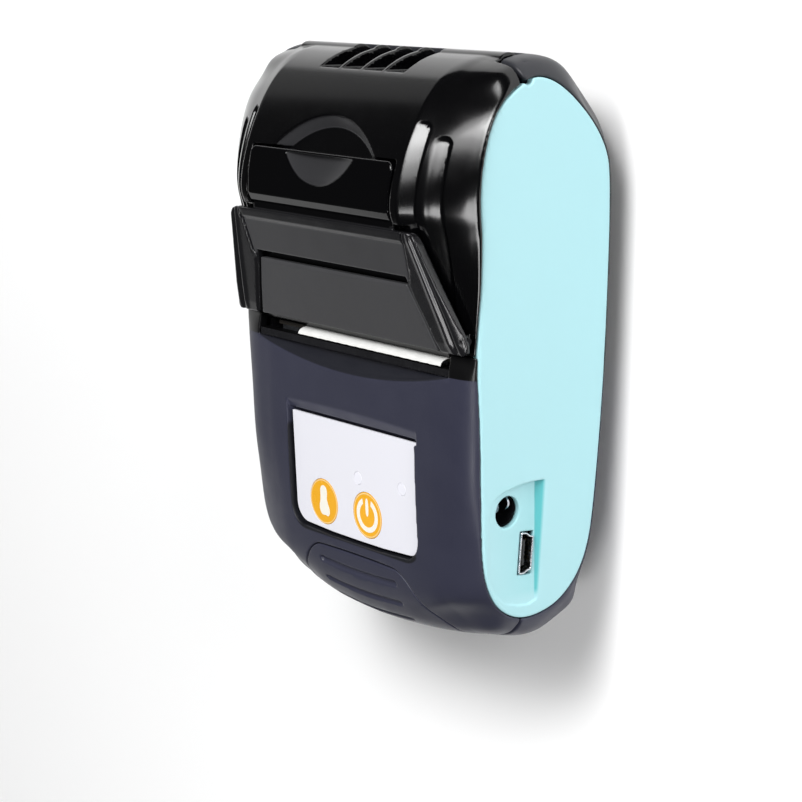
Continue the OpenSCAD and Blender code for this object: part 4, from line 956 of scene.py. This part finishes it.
def paper_lid():
    F = Field((-38.8, -1.2, 23.0), (38.8, 54.2, 48.4))
    zone = poly([(0.3, 37.9), (6, 37.9), (12, 37.6), (18, 37.5), (22, 37.6), (25, 37.9), (28.9, 38.1), (32.6, 37.9), (36.2, 37.3),
                 (39.6, 36.4), (42.7, 35), (45.2, 33), (46.9, 30.8), (47.4, 29.6), (62, 29.6), (62, 62), (0.3, 62)], F.y[0], F.z[0])[None]
    # two hollows down the shoulders: a flat facet beside the middle strip, and a rounded one further out
    q1 = both(slab(F.ax, 23.9, 27.85), slab(F.y, 5, 41.2), 1.7)
    d1 = np.clip(-q1 / 0.65, 0, 1) * np.clip((F.ax - 24.45) / 3.0, 0, 1) * 0.66
    q2 = both(slab(F.ax, 28.75, 32.4), slab(F.y, 5, 38.7), 1.6)
    d2 = np.clip(-q2 / 0.8, 0, 1) * 0.68 * np.clip((F.ax - 28.6) / 3.3, 0, 1) ** 1.35
    f = both(F.case + d1 + d2, zone, 0.2)
    lip = both(both(slab(F.x, -28.9, 28.9), slab(F.y, -0.9, 1.5), 0.1), slab(F.z, 37.95, 38.75), 0.1)
    f = np.minimum(f, lip)
    tongue = poly([(46.8, 29.9), (48.2, 26.5), (62, 26.5), (62, 29.9)], F.y[0], F.z[0])[None]
    f = np.minimum(f, both(both(F.case, tongue, 0.2), F.ax - 30.7, 0.2))
    under = poly([(8.4, 20), (8.4, 38.9), (14, 40.2), (20, 41.8), (33, 41.8), (38, 39.4), (42, 36.8), (45.6, 33.4), (48, 30.6), (48.4, 29), (48, 27), (47, 20)], F.y[0], F.z[0])[None]
    f = cut(f, both(under, F.ax - 30.4, 0.4), 0.2)
    under2 = poly([(7, 20), (7, 36.9), (14, 37.9), (30, 38.6), (35, 37.2), (39.4, 34.6), (42.8, 31), (43.6, 20)], F.y[0], F.z[0])[None]
    f = cut(f, np.maximum(under2, slab(F.ax, 30, 33.2)), 0.1)
    f = cut(f, boxf(F, (-33.2, -1, 20), (33.2, 9, 36.9)), 0.1)
    under3 = poly([(0.29, 36.9), (0.29, 30), (8.5, 30), (8.5, 37.4), (7, 38.2), (2, 38.2)], F.y[0], F.z[0])[None]
    f = cut(f, np.maximum(under3, F.ax - 29), 0.1)
    f = np.minimum(f, both(rod(F, HINGE, 2.6), F.ax - 30.7, 0.2))
    # seat of the opener and the inset panel
    side = opener_side(F, 0.14)
    plane = face_z(F.y) - 1.75
    s = np.maximum((plane - F.z) * 0.96, F.y - 22.9)
    s = np.maximum(s, -side[:, :, None])
    s = np.maximum(s, -np.maximum(np.maximum(slab(F.ax, 33.9, 34.9), slab(F.y, 1, 5.4)), F.z - 39.3))
    s = np.maximum(s, -np.maximum(rod(F, OPENER, 1), slab(F.ax, 33.9, 34.9)))
    f = cut(f, s, 0.15)
    ear = np.minimum(rod(F, OPENER, 1), np.maximum(np.maximum(slab(F.y, 2.2, 4.2), slab(F.z, 37.9, 39.5)), -1))
    f = np.minimum(f, np.maximum(ear, slab(F.ax, 33.9, 34.9)))
    # seat of the tab, and the thumb scoop behind it with a sloping wall
    f = cut(f, both(both(F.ax - 22.5, slab(F.y, 22.6, 34.3), 0.5), 43.8 - F.z, 0), 0.15)
    rr = np.hypot(F.x, F.y - 17.6)
    fl = 43.0 - (F.y - 34.3) * 0.40
    wall = (rr - 20.75) * 0.72 + fl
    scoop = np.maximum((np.maximum(fl, wall) - F.z) * 0.78, np.maximum(rr - 23.05, 33.4 - F.y))
    f = cut(f, scoop, 0.12)
    # vent slots with thin ribs between them
    for i in (-1.5, -0.5, 0.5, 1.5):
        f = cut(f, both(slab(F.x, i * 6.7 - 2.9, i * 6.7 + 2.9), 48.75 - F.y, 0.25), 0.12)
    f = cut(f, np.maximum(rod(F, HINGE, 3.0), 30.9 - F.ax), 0.2)
    f = cut(f, np.maximum(rod(F, HINGE, 0.95), slab(F.ax, 26.5, 31)), 0)
    f = cut(f, np.maximum(rod(F, OPENER, 0.62), slab(F.ax, 33, 35.2)), 0)
    f = cut(f, np.maximum(boxf(F, (-6.2, 14.2, 41), (6.2, 21.6, 60)), F.z - (face_z(12.6) - 1.7)), 0.1)
    f = np.minimum(f, 100)
    def where(c, n):
        out = ((n[:, 2] < -0.3) & (c[:, 1] < 47) & (np.abs(c[:, 0]) < 33.4)).astype(int)
        return out
    return field_piece("paper_lid_shape", F, f, "lid", ["lid_gloss", "inner_black"], ["paper_lid"], adaptivity=0.0012, where=where)


def opener_side(F, g):
    P = [(37.2 + g, -1), (37.2 + g, 0.4), (36.5 + g, 1.6), (35.8 + g, 4), (32.4 + g, 12.6), (30 + g, 18.8), (29.4 + g, 23.2), (50, 23.2), (50, -1)]
    return poly(P, F.ax[:, :, 0], F.y[0, :, 0][None, :])


OUTER = [(35.0, 0.45), (36.0, 1.2), (36.15, 2.4), (35.6, 4.4), (32.2, 12.6), (30, 18.4), (29.4, 20.2), (28.4, 21.5), (26.8, 22.2)]
INNER = [(28.7, 0.4), (27.6, 3.0), (25.9, 7.2), (24.7, 10.0), (23.9, 12.2), (23.5, 13.6)]


def inset_panel():
    F = Field((-28.6, -0.6, 37.4), (28.6, 13.4, 45))
    plan = [(-27.75, 0.45), (27.75, 0.45), (27.0, 2.6), (25.5, 6.6), (24.2, 9.6), (23.1, 12.2), (-23.1, 12.2), (-24.2, 9.6), (-25.5, 6.6), (-27.0, 2.6)]
    p = poly(plan, F.x[:, :, 0], F.y[0, :, 0][None, :])[:, :, None]
    s = slab(F.z - face_z(F.y), -1.7, -0.12) * 0.96
    return field_piece("lid_inset_shape", F, both(p, s, 0.22), "lid", ["inset_grey"], ["lid_inset_panel"])


def cover_opener():
    F = Field((-38.2, -1.0, 36.6), (38.2, 35.2, 47.8), 0.14)
    X2, Y2 = F.ax[:, :, 0], F.y[0, :, 0][None, :]
    outer = poly([(-x, y) for x, y in OUTER] + OUTER[::-1], F.x[:, :, 0], Y2)
    inner = poly([(-x, y) for x, y in [(28.7, -1)] + INNER] + ([(28.7, -1)] + INNER)[::-1], F.x[:, :, 0], Y2)
    # distance in from the outer side edge, and out from the inner one, on the arms
    ox = np.interp(Y2[0], [p[1] for p in OUTER], [p[0] for p in OUTER])[None, :]
    ix = np.interp(Y2[0], [0.4, 3.0, 7.2, 10.0, 12.2, 13.6, 21.9], [29.0, 27.9, 26.2, 25.0, 24.3, 24.9, 25.8])[None, :]
    r1 = np.interp(Y2[0], [0, 6, 15, 22], [32.7, 31.2, 28.9, 27.0])[None, :]
    r2 = np.interp(Y2[0], [0, 6, 15, 22], [34.9, 33.5, 30.5, 28.3])[None, :]
    # section of the arm: a raised flat, a crest, a groove, and a second crest near the outer edge
    mid = (r1 + r2) / 2
    roof = (-0.3 + 0.58 * np.clip((X2 - ix + 0.15) / 0.35, 0, 1) + 0.26 * np.exp(-((X2 - r1) / 0.6) ** 2) - 0.46 * np.exp(-((X2 - mid) / 0.55) ** 2)
            + 0.06 * np.exp(-((X2 - r2) / 0.5) ** 2) - 0.6 * np.clip((X2 - r2 - 0.1) / 1.1, 0, 1.3) ** 1.5)
    fade = np.clip((Y2 + 0.6) / 3.0, 0.15, 1) * np.clip((23.2 - Y2) / 2.6, 0, 1)
    roof = np.where(X2 > ix - 0.15, roof * fade, 0)
    # rounded bar along the band's upper edge
    bar = 0.34 * np.clip((Y2 - 19.75) / 0.55, 0, 1) * np.clip((26.3 - X2) / 0.6, 0, 1)
    roof = (roof + bar).astype(np.float32)
    top = face_z(F.y) + roof[:, :, None]
    bottom = np.interp(F.y, [0.5, 1.6, 3.6, 23.4], [face_z(0.5) - 0.95, face_z(1.6) - 1.15, face_z(3.6) - 1.45, face_z(23.4) - 1.5]).astype(np.float32)
    plan = both(outer, -inner, 0.5)[:, :, None]
    body = both(plan, (F.z - top) * 0.92, 0.28)
    body = both(body, bottom - F.z, 0.15)
    body = both(body, F.y - 21.95 - 0.0 * F.x, 0.3)
    # seam between the band and each arm
    seam = np.maximum(np.abs(X2 - (24.7 + (Y2 - 13.6) * 0.10))[:, :, None] - 0.13, (face_z(F.y) - 0.55) - F.z)
    body = cut(body, np.maximum(seam, 13.2 - F.y), 0.1)
    # link under the gap between band and tab
    link = both(both(F.ax - 22.0, slab(F.y, 20.5, 25), 0.3), slab(F.z, 45.15, 45.75), 0.1)
    f = np.minimum(body, link)
    # finger tab: crowned along Y, bevelled at its lower edge, rounded top corners
    rx = 1.6
    q = np.maximum(X2 - (22.2 - rx), 0)
    tp = np.maximum(X2 - 22.2, 23.45 - Y2)
    corner = np.hypot(np.maximum(X2 - (22.2 - rx), 0), np.maximum(Y2 - (34.0 - rx), 0)) - rx
    tp = np.maximum(np.maximum(tp, Y2 - 34.0), np.where((X2 > 22.2 - rx) & (Y2 > 34 - rx), corner, -9))[:, :, None]
    ttop = np.interp(F.y, [23.4, 25.2, 29, 34], [46.15, 46.98, 46.88, 46.05]).astype(np.float32)
    tab = both(tp, (F.z - ttop) * 0.95, 0.3)
    tab = both(tab, 44.1 - F.z, 0.1)
    # half-moon hollow for the finger
    rc = np.hypot(F.x, F.y - 40.8) - 12.9
    hollow_floor = ttop - 0.10 - 1.45 * (1 - np.exp(np.clip(rc, -7, 0) / 3.2))
    moon = both((hollow_floor - F.z) * 0.9, both(rc, F.y - 33.55, 0.3), 0.15)
    tab = cut(tab, moon, 0.08)
    f = np.minimum(f, tab)
    f = cut(f, np.maximum(rod(F, OPENER, 0.65), slab(F.ax, 32, 35.4)), 0)
    f = cut(f, np.maximum(rod(F, OPENER, 1.25), slab(F.ax, 33.65, 35.15)), 0)
    f = cut(f, np.maximum(np.maximum(slab(F.ax, 33.65, 35.15), slab(F.y, -1, 5.6)), F.z - 39.96), 0)
    def where(c, n):
        x = np.abs(c[:, 0])
        out = np.zeros(len(c), int)
        out[(x < 24.7 + (c[:, 1] - 13.6) * 0.1) & (c[:, 1] < 19.9) & (c[:, 1] > 13) & (n[:, 2] > 0.6)] = 1
        out[c[:, 1] > 22.4] = 2
        return out
    return field_piece("cover_opener_shape", F, f, "opener", ["opener_gloss", "band_satin", "tab_gloss"], ["cover_opener"], adaptivity=0.001, where=where)


# ---------------------------------------------------------------- label and controls
def on_label(p):
    """Label coordinates (x, along, off) to the drawing frame."""
    a = math.radians(TILT)
    p = np.asarray(p, float).reshape(-1, 3)
    return np.stack([p[:, 0], -29.15 + p[:, 1] * math.cos(a) - p[:, 2] * math.sin(a), 38.0 + p[:, 1] * math.sin(a) + p[:, 2] * math.cos(a)], 1)


def plate(name, outline, z0, z1, body, mats, nodes=(), holes=(), edge=0.06, frame=on_label):
    """A flat plate with a rounded rim on its outside face; outline and holes are closed outlines."""
    bm = bmesh.new()

    def loop(pts, z):
        return [bm.verts.new((x, y, z)) for x, y in pts]
    rings = [outline] + list(holes)
    for k, pts in enumerate(rings):
        P = np.asarray(pts, float)
        area = 0.5 * np.sum(P[:, 0] * np.roll(P[:, 1], -1) - np.roll(P[:, 0], -1) * P[:, 1])
        if area < 0:
            P = P[::-1]
        T = np.roll(P, -1, 0) - np.roll(P, 1, 0)
        T /= np.maximum(np.linalg.norm(T, axis=1, keepdims=True), 1e-9)
        N = np.stack([-T[:, 1], T[:, 0]], 1) * (1 if k == 0 else -1)
        levels = [(0, z0), (0, z1 - edge), (edge * 0.3, z1 - edge * 0.3), (edge, z1)]
        loops = [loop(P + N * d, z) for d, z in levels]
        for a, b in zip(loops, loops[1:]):
            for i in range(len(P)):
                j = (i + 1) % len(P)
                quad = (a[i], a[j], b[j], b[i]) if k == 0 else (a[j], a[i], b[i], b[j])
                bm.faces.new(quad)
        for l in (loops[0], loops[-1]):
            for i in range(len(P)):
                bm.edges.get((l[i], l[(i + 1) % len(P)])) or bm.edges.new((l[i], l[(i + 1) % len(P)]))
        rings[k] = (loops[0], loops[-1])
    for which in (0, 1):
        edges = []
        for r in rings:
            l = r[which]
            edges += [bm.edges.get((l[i], l[(i + 1) % len(l)])) for i in range(len(l))]
        bmesh.ops.triangle_fill(bm, use_beauty=True, use_dissolve=False, edges=edges, normal=(0, 0, 1 if which else -1))
    bmesh.ops.recalc_face_normals(bm, faces=bm.faces)
    bm.verts.index_update()
    V = frame([v.co[:] for v in bm.verts])
    faces = [[v.index for v in f.verts] for f in bm.faces]
    bm.free()
    return finish_mesh(name, V, faces, body, mats, nodes, smooth=False)


def smooth_by_angle(o, deg=38):
    me = o.data
    me.polygons.foreach_set("use_smooth", np.ones(len(me.polygons), bool))
    bm = bmesh.new()
    bm.from_mesh(me)
    lim = math.radians(deg)
    for e in bm.edges:
        e.smooth = not (len(e.link_faces) == 2 and e.calc_face_angle(0) > lim)
    bm.to_mesh(me)
    bm.free()
    me.update()


def circle(x, y, r, n=64):
    return [(x + r * math.cos(2 * math.pi * i / n), y + r * math.sin(2 * math.pi * i / n)) for i in range(n)]


def controls():
    holes = [circle(FEED_X, BUTTON_Y, 4.56, 72), circle(POWER_X, BUTTON_Y, 4.56, 72)] + [circle(x, y, 1.26, 36) for x, y in LEDS]
    out = []
    P = label_outline(0.0)
    for i, p in enumerate(P):
        out.append(p)
    plate("label_shape", out, -0.5, 0.0, "case", ["label_white"], ["label_plate"], holes)
    for i, (x, y) in enumerate(LEDS):
        plate("led_lens_%d" % (i + 1), circle(x, y, 1.23, 36), -2.0, 0.0, "case", ["lens"], ["led_lenses"], edge=0.1)
    for nm, x, node in (("feed", FEED_X, "feed_button"), ("power", POWER_X, "power_button")):
        o = plate(nm + "_cap", circle(x, BUTTON_Y, 4.5, 72), -3.5, 0.0, nm, ["amber"], [node], edge=0.1)
        plate(nm + "_foot", circle(x, BUTTON_Y, 5.2, 48), -3.5, -2.8, nm, ["amber"], [], edge=0.05)
    # power mark: open ring and bar
    x = POWER_X
    r0, r1 = 2.35, 3.35
    gap = 24
    ring = arc(x, BUTTON_Y, r1, 90 + gap, 450 - gap, 60) + arc(x, BUTTON_Y, r0, 450 - gap - 6, 90 + gap + 6, 50)
    plate("power_mark_ring", ring, -0.03, 0.02, "power", ["print_white"], [], edge=0.008)
    bar = [(x - 0.45, BUTTON_Y - 0.2), (x + 0.45, BUTTON_Y - 0.2), (x + 0.45, BUTTON_Y + 3.3), (x - 0.45, BUTTON_Y + 3.3)]
    plate("power_mark_bar", smooth_open(bar, 2), -0.03, 0.02, "power", ["print_white"], [], edge=0.008)
    rim = circle(x, BUTTON_Y, 4.34, 72)
    plate("power_mark_rim", rim, -0.03, 0.012, "power", ["print_pale"], [], [circle(x, BUTTON_Y, 4.1, 72)], edge=0.006)
    # feed mark: a drop of rounded outline
    x = FEED_X
    drop = [(0, 3.3), (0.75, 3.1), (1.15, 2.4), (1.1, 1.5), (0.95, 0.6), (1.25, -0.2), (1.75, -1.2), (1.8, -2.2), (1.2, -2.9), (0.5, -2.6), (-0.2, -2.75), (-0.9, -2.6), (-1.45, -1.9),
            (-1.5, -0.9), (-1.15, 0.1), (-1.05, 1.2), (-1.1, 2.2), (-0.75, 3.05)]
    drop = [(x + a, BUTTON_Y + b) for a, b in drop][::-1]
    plate("feed_mark", smooth_open(drop, 2), -0.03, 0.02, "feed", ["print_white"], [], edge=0.008)
    rim = circle(x, BUTTON_Y, 4.38, 72)
    plate("feed_mark_rim", rim, -0.03, 0.012, "feed", ["print_pale"], [], [circle(x, BUTTON_Y, 4.16, 72)], edge=0.006)


def paper_sheet():
    """The free end of the paper: up from the roll, over the platen, and out of the slot."""
    pts = [(9.6, 13.7), (8.0, 15.9), (6.1, 18.4), (4.2, 20.9), (2.3, 23.4), (0.6, 25.6), (-0.35, 27.2), (-0.74, 29.0), (-0.8, 32.0), (-0.82, 35.0), (-0.88, 36.6), (-1.02, 37.8), (-1.22, 38.7), (-1.5, 39.26), (-1.85, 39.54), (-2.28, 39.66)]
    P = np.array(pts)
    for _ in range(2):
        P = np.vstack([P[:1], np.stack([0.75 * P[:-1] + 0.25 * P[1:], 0.25 * P[:-1] + 0.75 * P[1:]], 1).reshape(-1, 2), P[-1:]])
    s = np.concatenate([[0], np.cumsum(np.linalg.norm(np.diff(P, axis=0), axis=1))])
    n, m = 70, 60
    xs = np.concatenate([np.linspace(-28.4, -16.5, 12), np.linspace(-16.15, 28.05, m - 12)])
    short = np.interp(32.5, P[:, 1], s)
    V, t = [], 0.07
    for side in (1, -1):
        for i in range(n):
            for x in xs:
                # the torn edge: low at the left, then lying over the tear bar
                end = short if x < -16.3 else s[-1] - 0.02 + 0.03 * math.sin(x * 9.0)
                u = end * i / (n - 1)
                y, z = np.interp(u, s, P[:, 0]), np.interp(u, s, P[:, 1])
                y2, z2 = np.interp(u + 0.05, s, P[:, 0]), np.interp(u + 0.05, s, P[:, 1])
                y1, z1 = np.interp(u - 0.05, s, P[:, 0]), np.interp(u - 0.05, s, P[:, 1])
                l = math.hypot(y2 - y1, z2 - z1)
                V.append((x, y - (z2 - z1) / l * side * t / 2, z + (y2 - y1) / l * side * t / 2))
    faces = []
    q = n * m
    for i in range(n - 1):
        for j in range(m - 1):
            a = i * m + j
            faces.append([a, a + 1, a + m + 1, a + m])
            faces.append([q + a, q + a + m, q + a + m + 1, q + a + 1])
    ring = [j for j in range(m)] + [i * m + m - 1 for i in range(1, n)] + [(n - 1) * m + j for j in range(m - 2, -1, -1)] + [i * m for i in range(n - 2, 0, -1)]
    for a, b in zip(ring, ring[1:] + ring[:1]):
        faces.append([b, a, q + a, q + b])
    o = finish_mesh("paper_sheet", V, faces, "case", ["paper"], ["paper_web"])
    smooth_by_angle(o, 50)


def coil(name, c, axis_y0, axis_y1, r, wire, turns, body, nodes):
    """A helical spring along Y with closed ends."""
    n = 26 * turns
    V, faces, k = [], [], 8
    for i in range(n + 1):
        s = i / n
        a = 2 * math.pi * turns * s
        e = min(1, max(0, (s - 0.08) / 0.84))
        y = axis_y0 + wire / 2 + (axis_y1 - axis_y0 - wire) * e
        cx, cz = c[0] + r * math.cos(a), c[1] + r * math.sin(a)
        for j in range(k):
            b = 2 * math.pi * j / k
            V.append((c[0] + (r + wire / 2 * math.cos(b)) * math.cos(a), y + wire / 2 * math.sin(b), c[1] + (r + wire / 2 * math.cos(b)) * math.sin(a)))
    for i in range(n):
        for j in range(k):
            a, b = i * k + j, i * k + (j + 1) % k
            faces.append([a, b, b + k, a + k])
    faces.append(list(range(k))[::-1])
    faces.append([n * k + j for j in range(k)])
    return V, faces


def springs():
    V, F = [], []
    for x in (-14, 14):
        v, f = coil("s", (x, 32), -7.15, -4.25, 1.4, 0.32, 5, "case", [])
        F += [[i + len(V) for i in face] for face in f]
        V += v
    o = finish_mesh("head_spring_coils", V, F, "case", ["steel"], ["head_springs"])
    return o


def usb_socket():
    """Folded metal shell of the data socket, its tongue and contacts."""
    F = Field((23.8, -42.6, 21.2), (36.4, -32.4, 29.0))
    outer, inner = usb_window(F, -0.12), usb_window(F, -0.40)
    f = both(both(outer, slab(F.x, 24.4, 35.1), 0.1), -np.maximum(inner, 25.2 - F.x), 0.1)
    field_piece("usb_shell_shape", F, f, "case", ["socket_metal"], ["usb_shell"])
    u, v = usb_axes(F)
    a = math.radians(-4.5)
    block = both(usb_window(F, -0.5), slab(F.x, 25.3, 26.4), 0.05)
    tongue = both(both(slab(u, -2.5, 2.5), slab(v, -0.35, 0.55), 0.1), slab(F.x, 26, 34.3), 0.15)
    f = np.minimum(block, tongue)
    for i in range(5):
        f = cut(f, both(slab(u, (i - 2) * 0.9 - 0.22, (i - 2) * 0.9 + 0.22), np.maximum(v + 0.2, 27 - F.x), 0), 0)
    field_piece("usb_tongue_shape", F, f, "case", ["black_plastic"], ["usb_tongue"])
    V, Fc = [], []
    for i in range(5):
        c, s = math.cos(a), math.sin(a)
        for k, (x0, x1) in enumerate([(26.6, 34.0)]):
            b = len(V)
            for x in (x0, x1):
                for du, dv in ((-0.16, -0.32), (0.16, -0.32), (0.16, -0.19), (-0.16, -0.19)):
                    uu, vv = (i - 2) * 0.9 + du, dv
                    V.append((x, USB[0] + uu * c - vv * s, USB[1] + uu * s + vv * c))
            Fc += [[b, b + 1, b + 2, b + 3][::-1], [b + 4, b + 5, b + 6, b + 7], [b, b + 1, b + 5, b + 4], [b + 1, b + 2, b + 6, b + 5], [b + 2, b + 3, b + 7, b + 6], [b + 3, b, b + 4, b + 7]]
    finish_mesh("usb_contacts", V, Fc, "case", ["brass"], [], smooth=False)
    # spring contact inside the power socket
    V, Fc = [], []
    for i in range(9):
        t = i / 8
        y, x = -28.9 + 2.5 * t, 33.7 + 0.8 * math.sin(math.pi * t)
        for dx, dz in ((0, 28.85), (0.12, 28.85), (0.12, 29.25), (0, 29.25)):
            V.append((x + dx, y, dz))
    for i in range(8):
        for j in range(4):
            p, q = i * 4 + j, i * 4 + (j + 1) % 4
            Fc.append([p, q, q + 4, p + 4])
    Fc += [[3, 2, 1, 0], [32, 33, 34, 35]]
    finish_mesh("dc_contact", V, Fc, "case", ["steel"], [], smooth=False)


# ================================================================ build
for make in (front_shell, rear_shell, battery_door, lambda: side_panel(True), lambda: side_panel(False), paper_lid, inset_panel, cover_opener,
             controls, paper_sheet, springs, usb_socket):
    t0 = time.time()
    make()
    print("built", list(PIECES)[-1], round(time.time() - t0, 2))

# the print head's dark colour and the opener pins' dark steel are painted shade
WEAR = {
    "opener_pins": "tear_steel", "opener_spring": "steel", "lid_hinge_pins": "steel", "platen_brackets": "inner_black", "platen_bushes": "natural_plastic",
    "platen_shaft": "steel", "platen_rubber": "platen_rubber", "platen_gear": "gear_plastic", "idler_gear": "gear_plastic", "drive_gear": "gear_plastic",
    "motor_pinion": "brass", "gear_axles": "steel", "stepper_motor": "motor_can", "mechanism_frame": "sheet_steel", "print_head": "ceramic",
    "head_heatsink": "aluminium", "tear_bar": "tear_steel", "paper_roll": "roll_paper", "roll_core": "card", "paper_sensor": "black_plastic",
    "main_board": "board_green", "board_parts": "black_plastic", "tact_switches": "switch_metal", "status_leds": "lens", "dc_jack": "black_plastic",
    "dc_jack_pin": "steel", "battery_pack": "battery_wrap", "battery_contacts": "brass", "case_screws": "steel",
}
for n, m in WEAR.items():
    o = NODES[n]
    if not o.material_slots:
        o.data.materials.append(None)
    for s in o.material_slots:
        s.material = MATS[m]

# ================================================================ stage and light
def make_floor():
    bm = bmesh.new()
    bmesh.ops.create_grid(bm, x_segments=8, y_segments=8, size=3.0)
    me = bpy.data.meshes.new("floor")
    bm.to_mesh(me)
    bm.free()
    me.materials.append(MATS["floor"])
    o = bpy.data.objects.new("floor", me)
    o.location = (0, 0, 0)
    scene.collection.objects.link(o)


make_floor()


def soft(name, loc, to, sx, sy, radiance):
    L = bpy.data.lights.new(name, "AREA")
    L.shape = "RECTANGLE"
    L.size, L.size_y = sx, sy
    L.energy = radiance * math.pi * sx * sy
    o = bpy.data.objects.new(name, L)
    d = Vector(to) - Vector(loc)
    o.matrix_world = Matrix.Translation(loc) @ d.to_track_quat("-Z", "Y").to_matrix().to_4x4()
    scene.collection.objects.link(o)
    return o


W = bpy.data.worlds.new("studio")
scene.world = W
W.use_nodes = True
bg = W.node_tree.nodes["Background"]
bg.inputs["Color"].default_value = (1, 1, 1, 1)
bg.inputs["Strength"].default_value = 0.04
LIGHTS = [
    ("key_wide", (0.29, 0.68, 0.88), (0, 0, 0.02), 0.70, 0.70, 5.6),
    ("key_mid", (0.285, 0.672, 0.868), (0, 0, 0.02), 0.48, 0.48, 6.6),
    ("key_core", (0.28, 0.662, 0.855), (0, 0, 0.02), 0.28, 0.28, 9),
    ("side_wide", (1.03, 0.46, 0.36), (0, 0, 0.02), 0.5, 0.5, 3),
    ("side_core", (1.01, 0.45, 0.35), (0, 0, 0.02), 0.22, 0.30, 12),
    ("front_wide", (0.25, -0.95, 1.05), (0, 0, 0.02), 1.3, 1.0, 0.9),
    ("ridge", (0.58, -0.26, 0.98), (0, 0, 0.02), 0.28, 0.28, 11),
    ("backdrop_far", (-1.2, 0.65, 0.25), (0, 0.65, 0.25), 1.1, 0.50, 0.35),
    ("backdrop_near", (-1.2, -0.6, 0.26), (0, -0.6, 0.26), 1.4, 0.52, 0.8),
]
for name, loc, to, sx, sy, radiance in LIGHTS:
    # the two wide fills only light the surfaces, so that gloss black shows the small boxes alone
    soft(name, loc, to, sx, sy, radiance).visible_glossy = name not in ("front_wide", "side_wide")

# ================================================================ finish
print("faces", {n: len(o.data.polygons) for n, o in PIECES.items()})
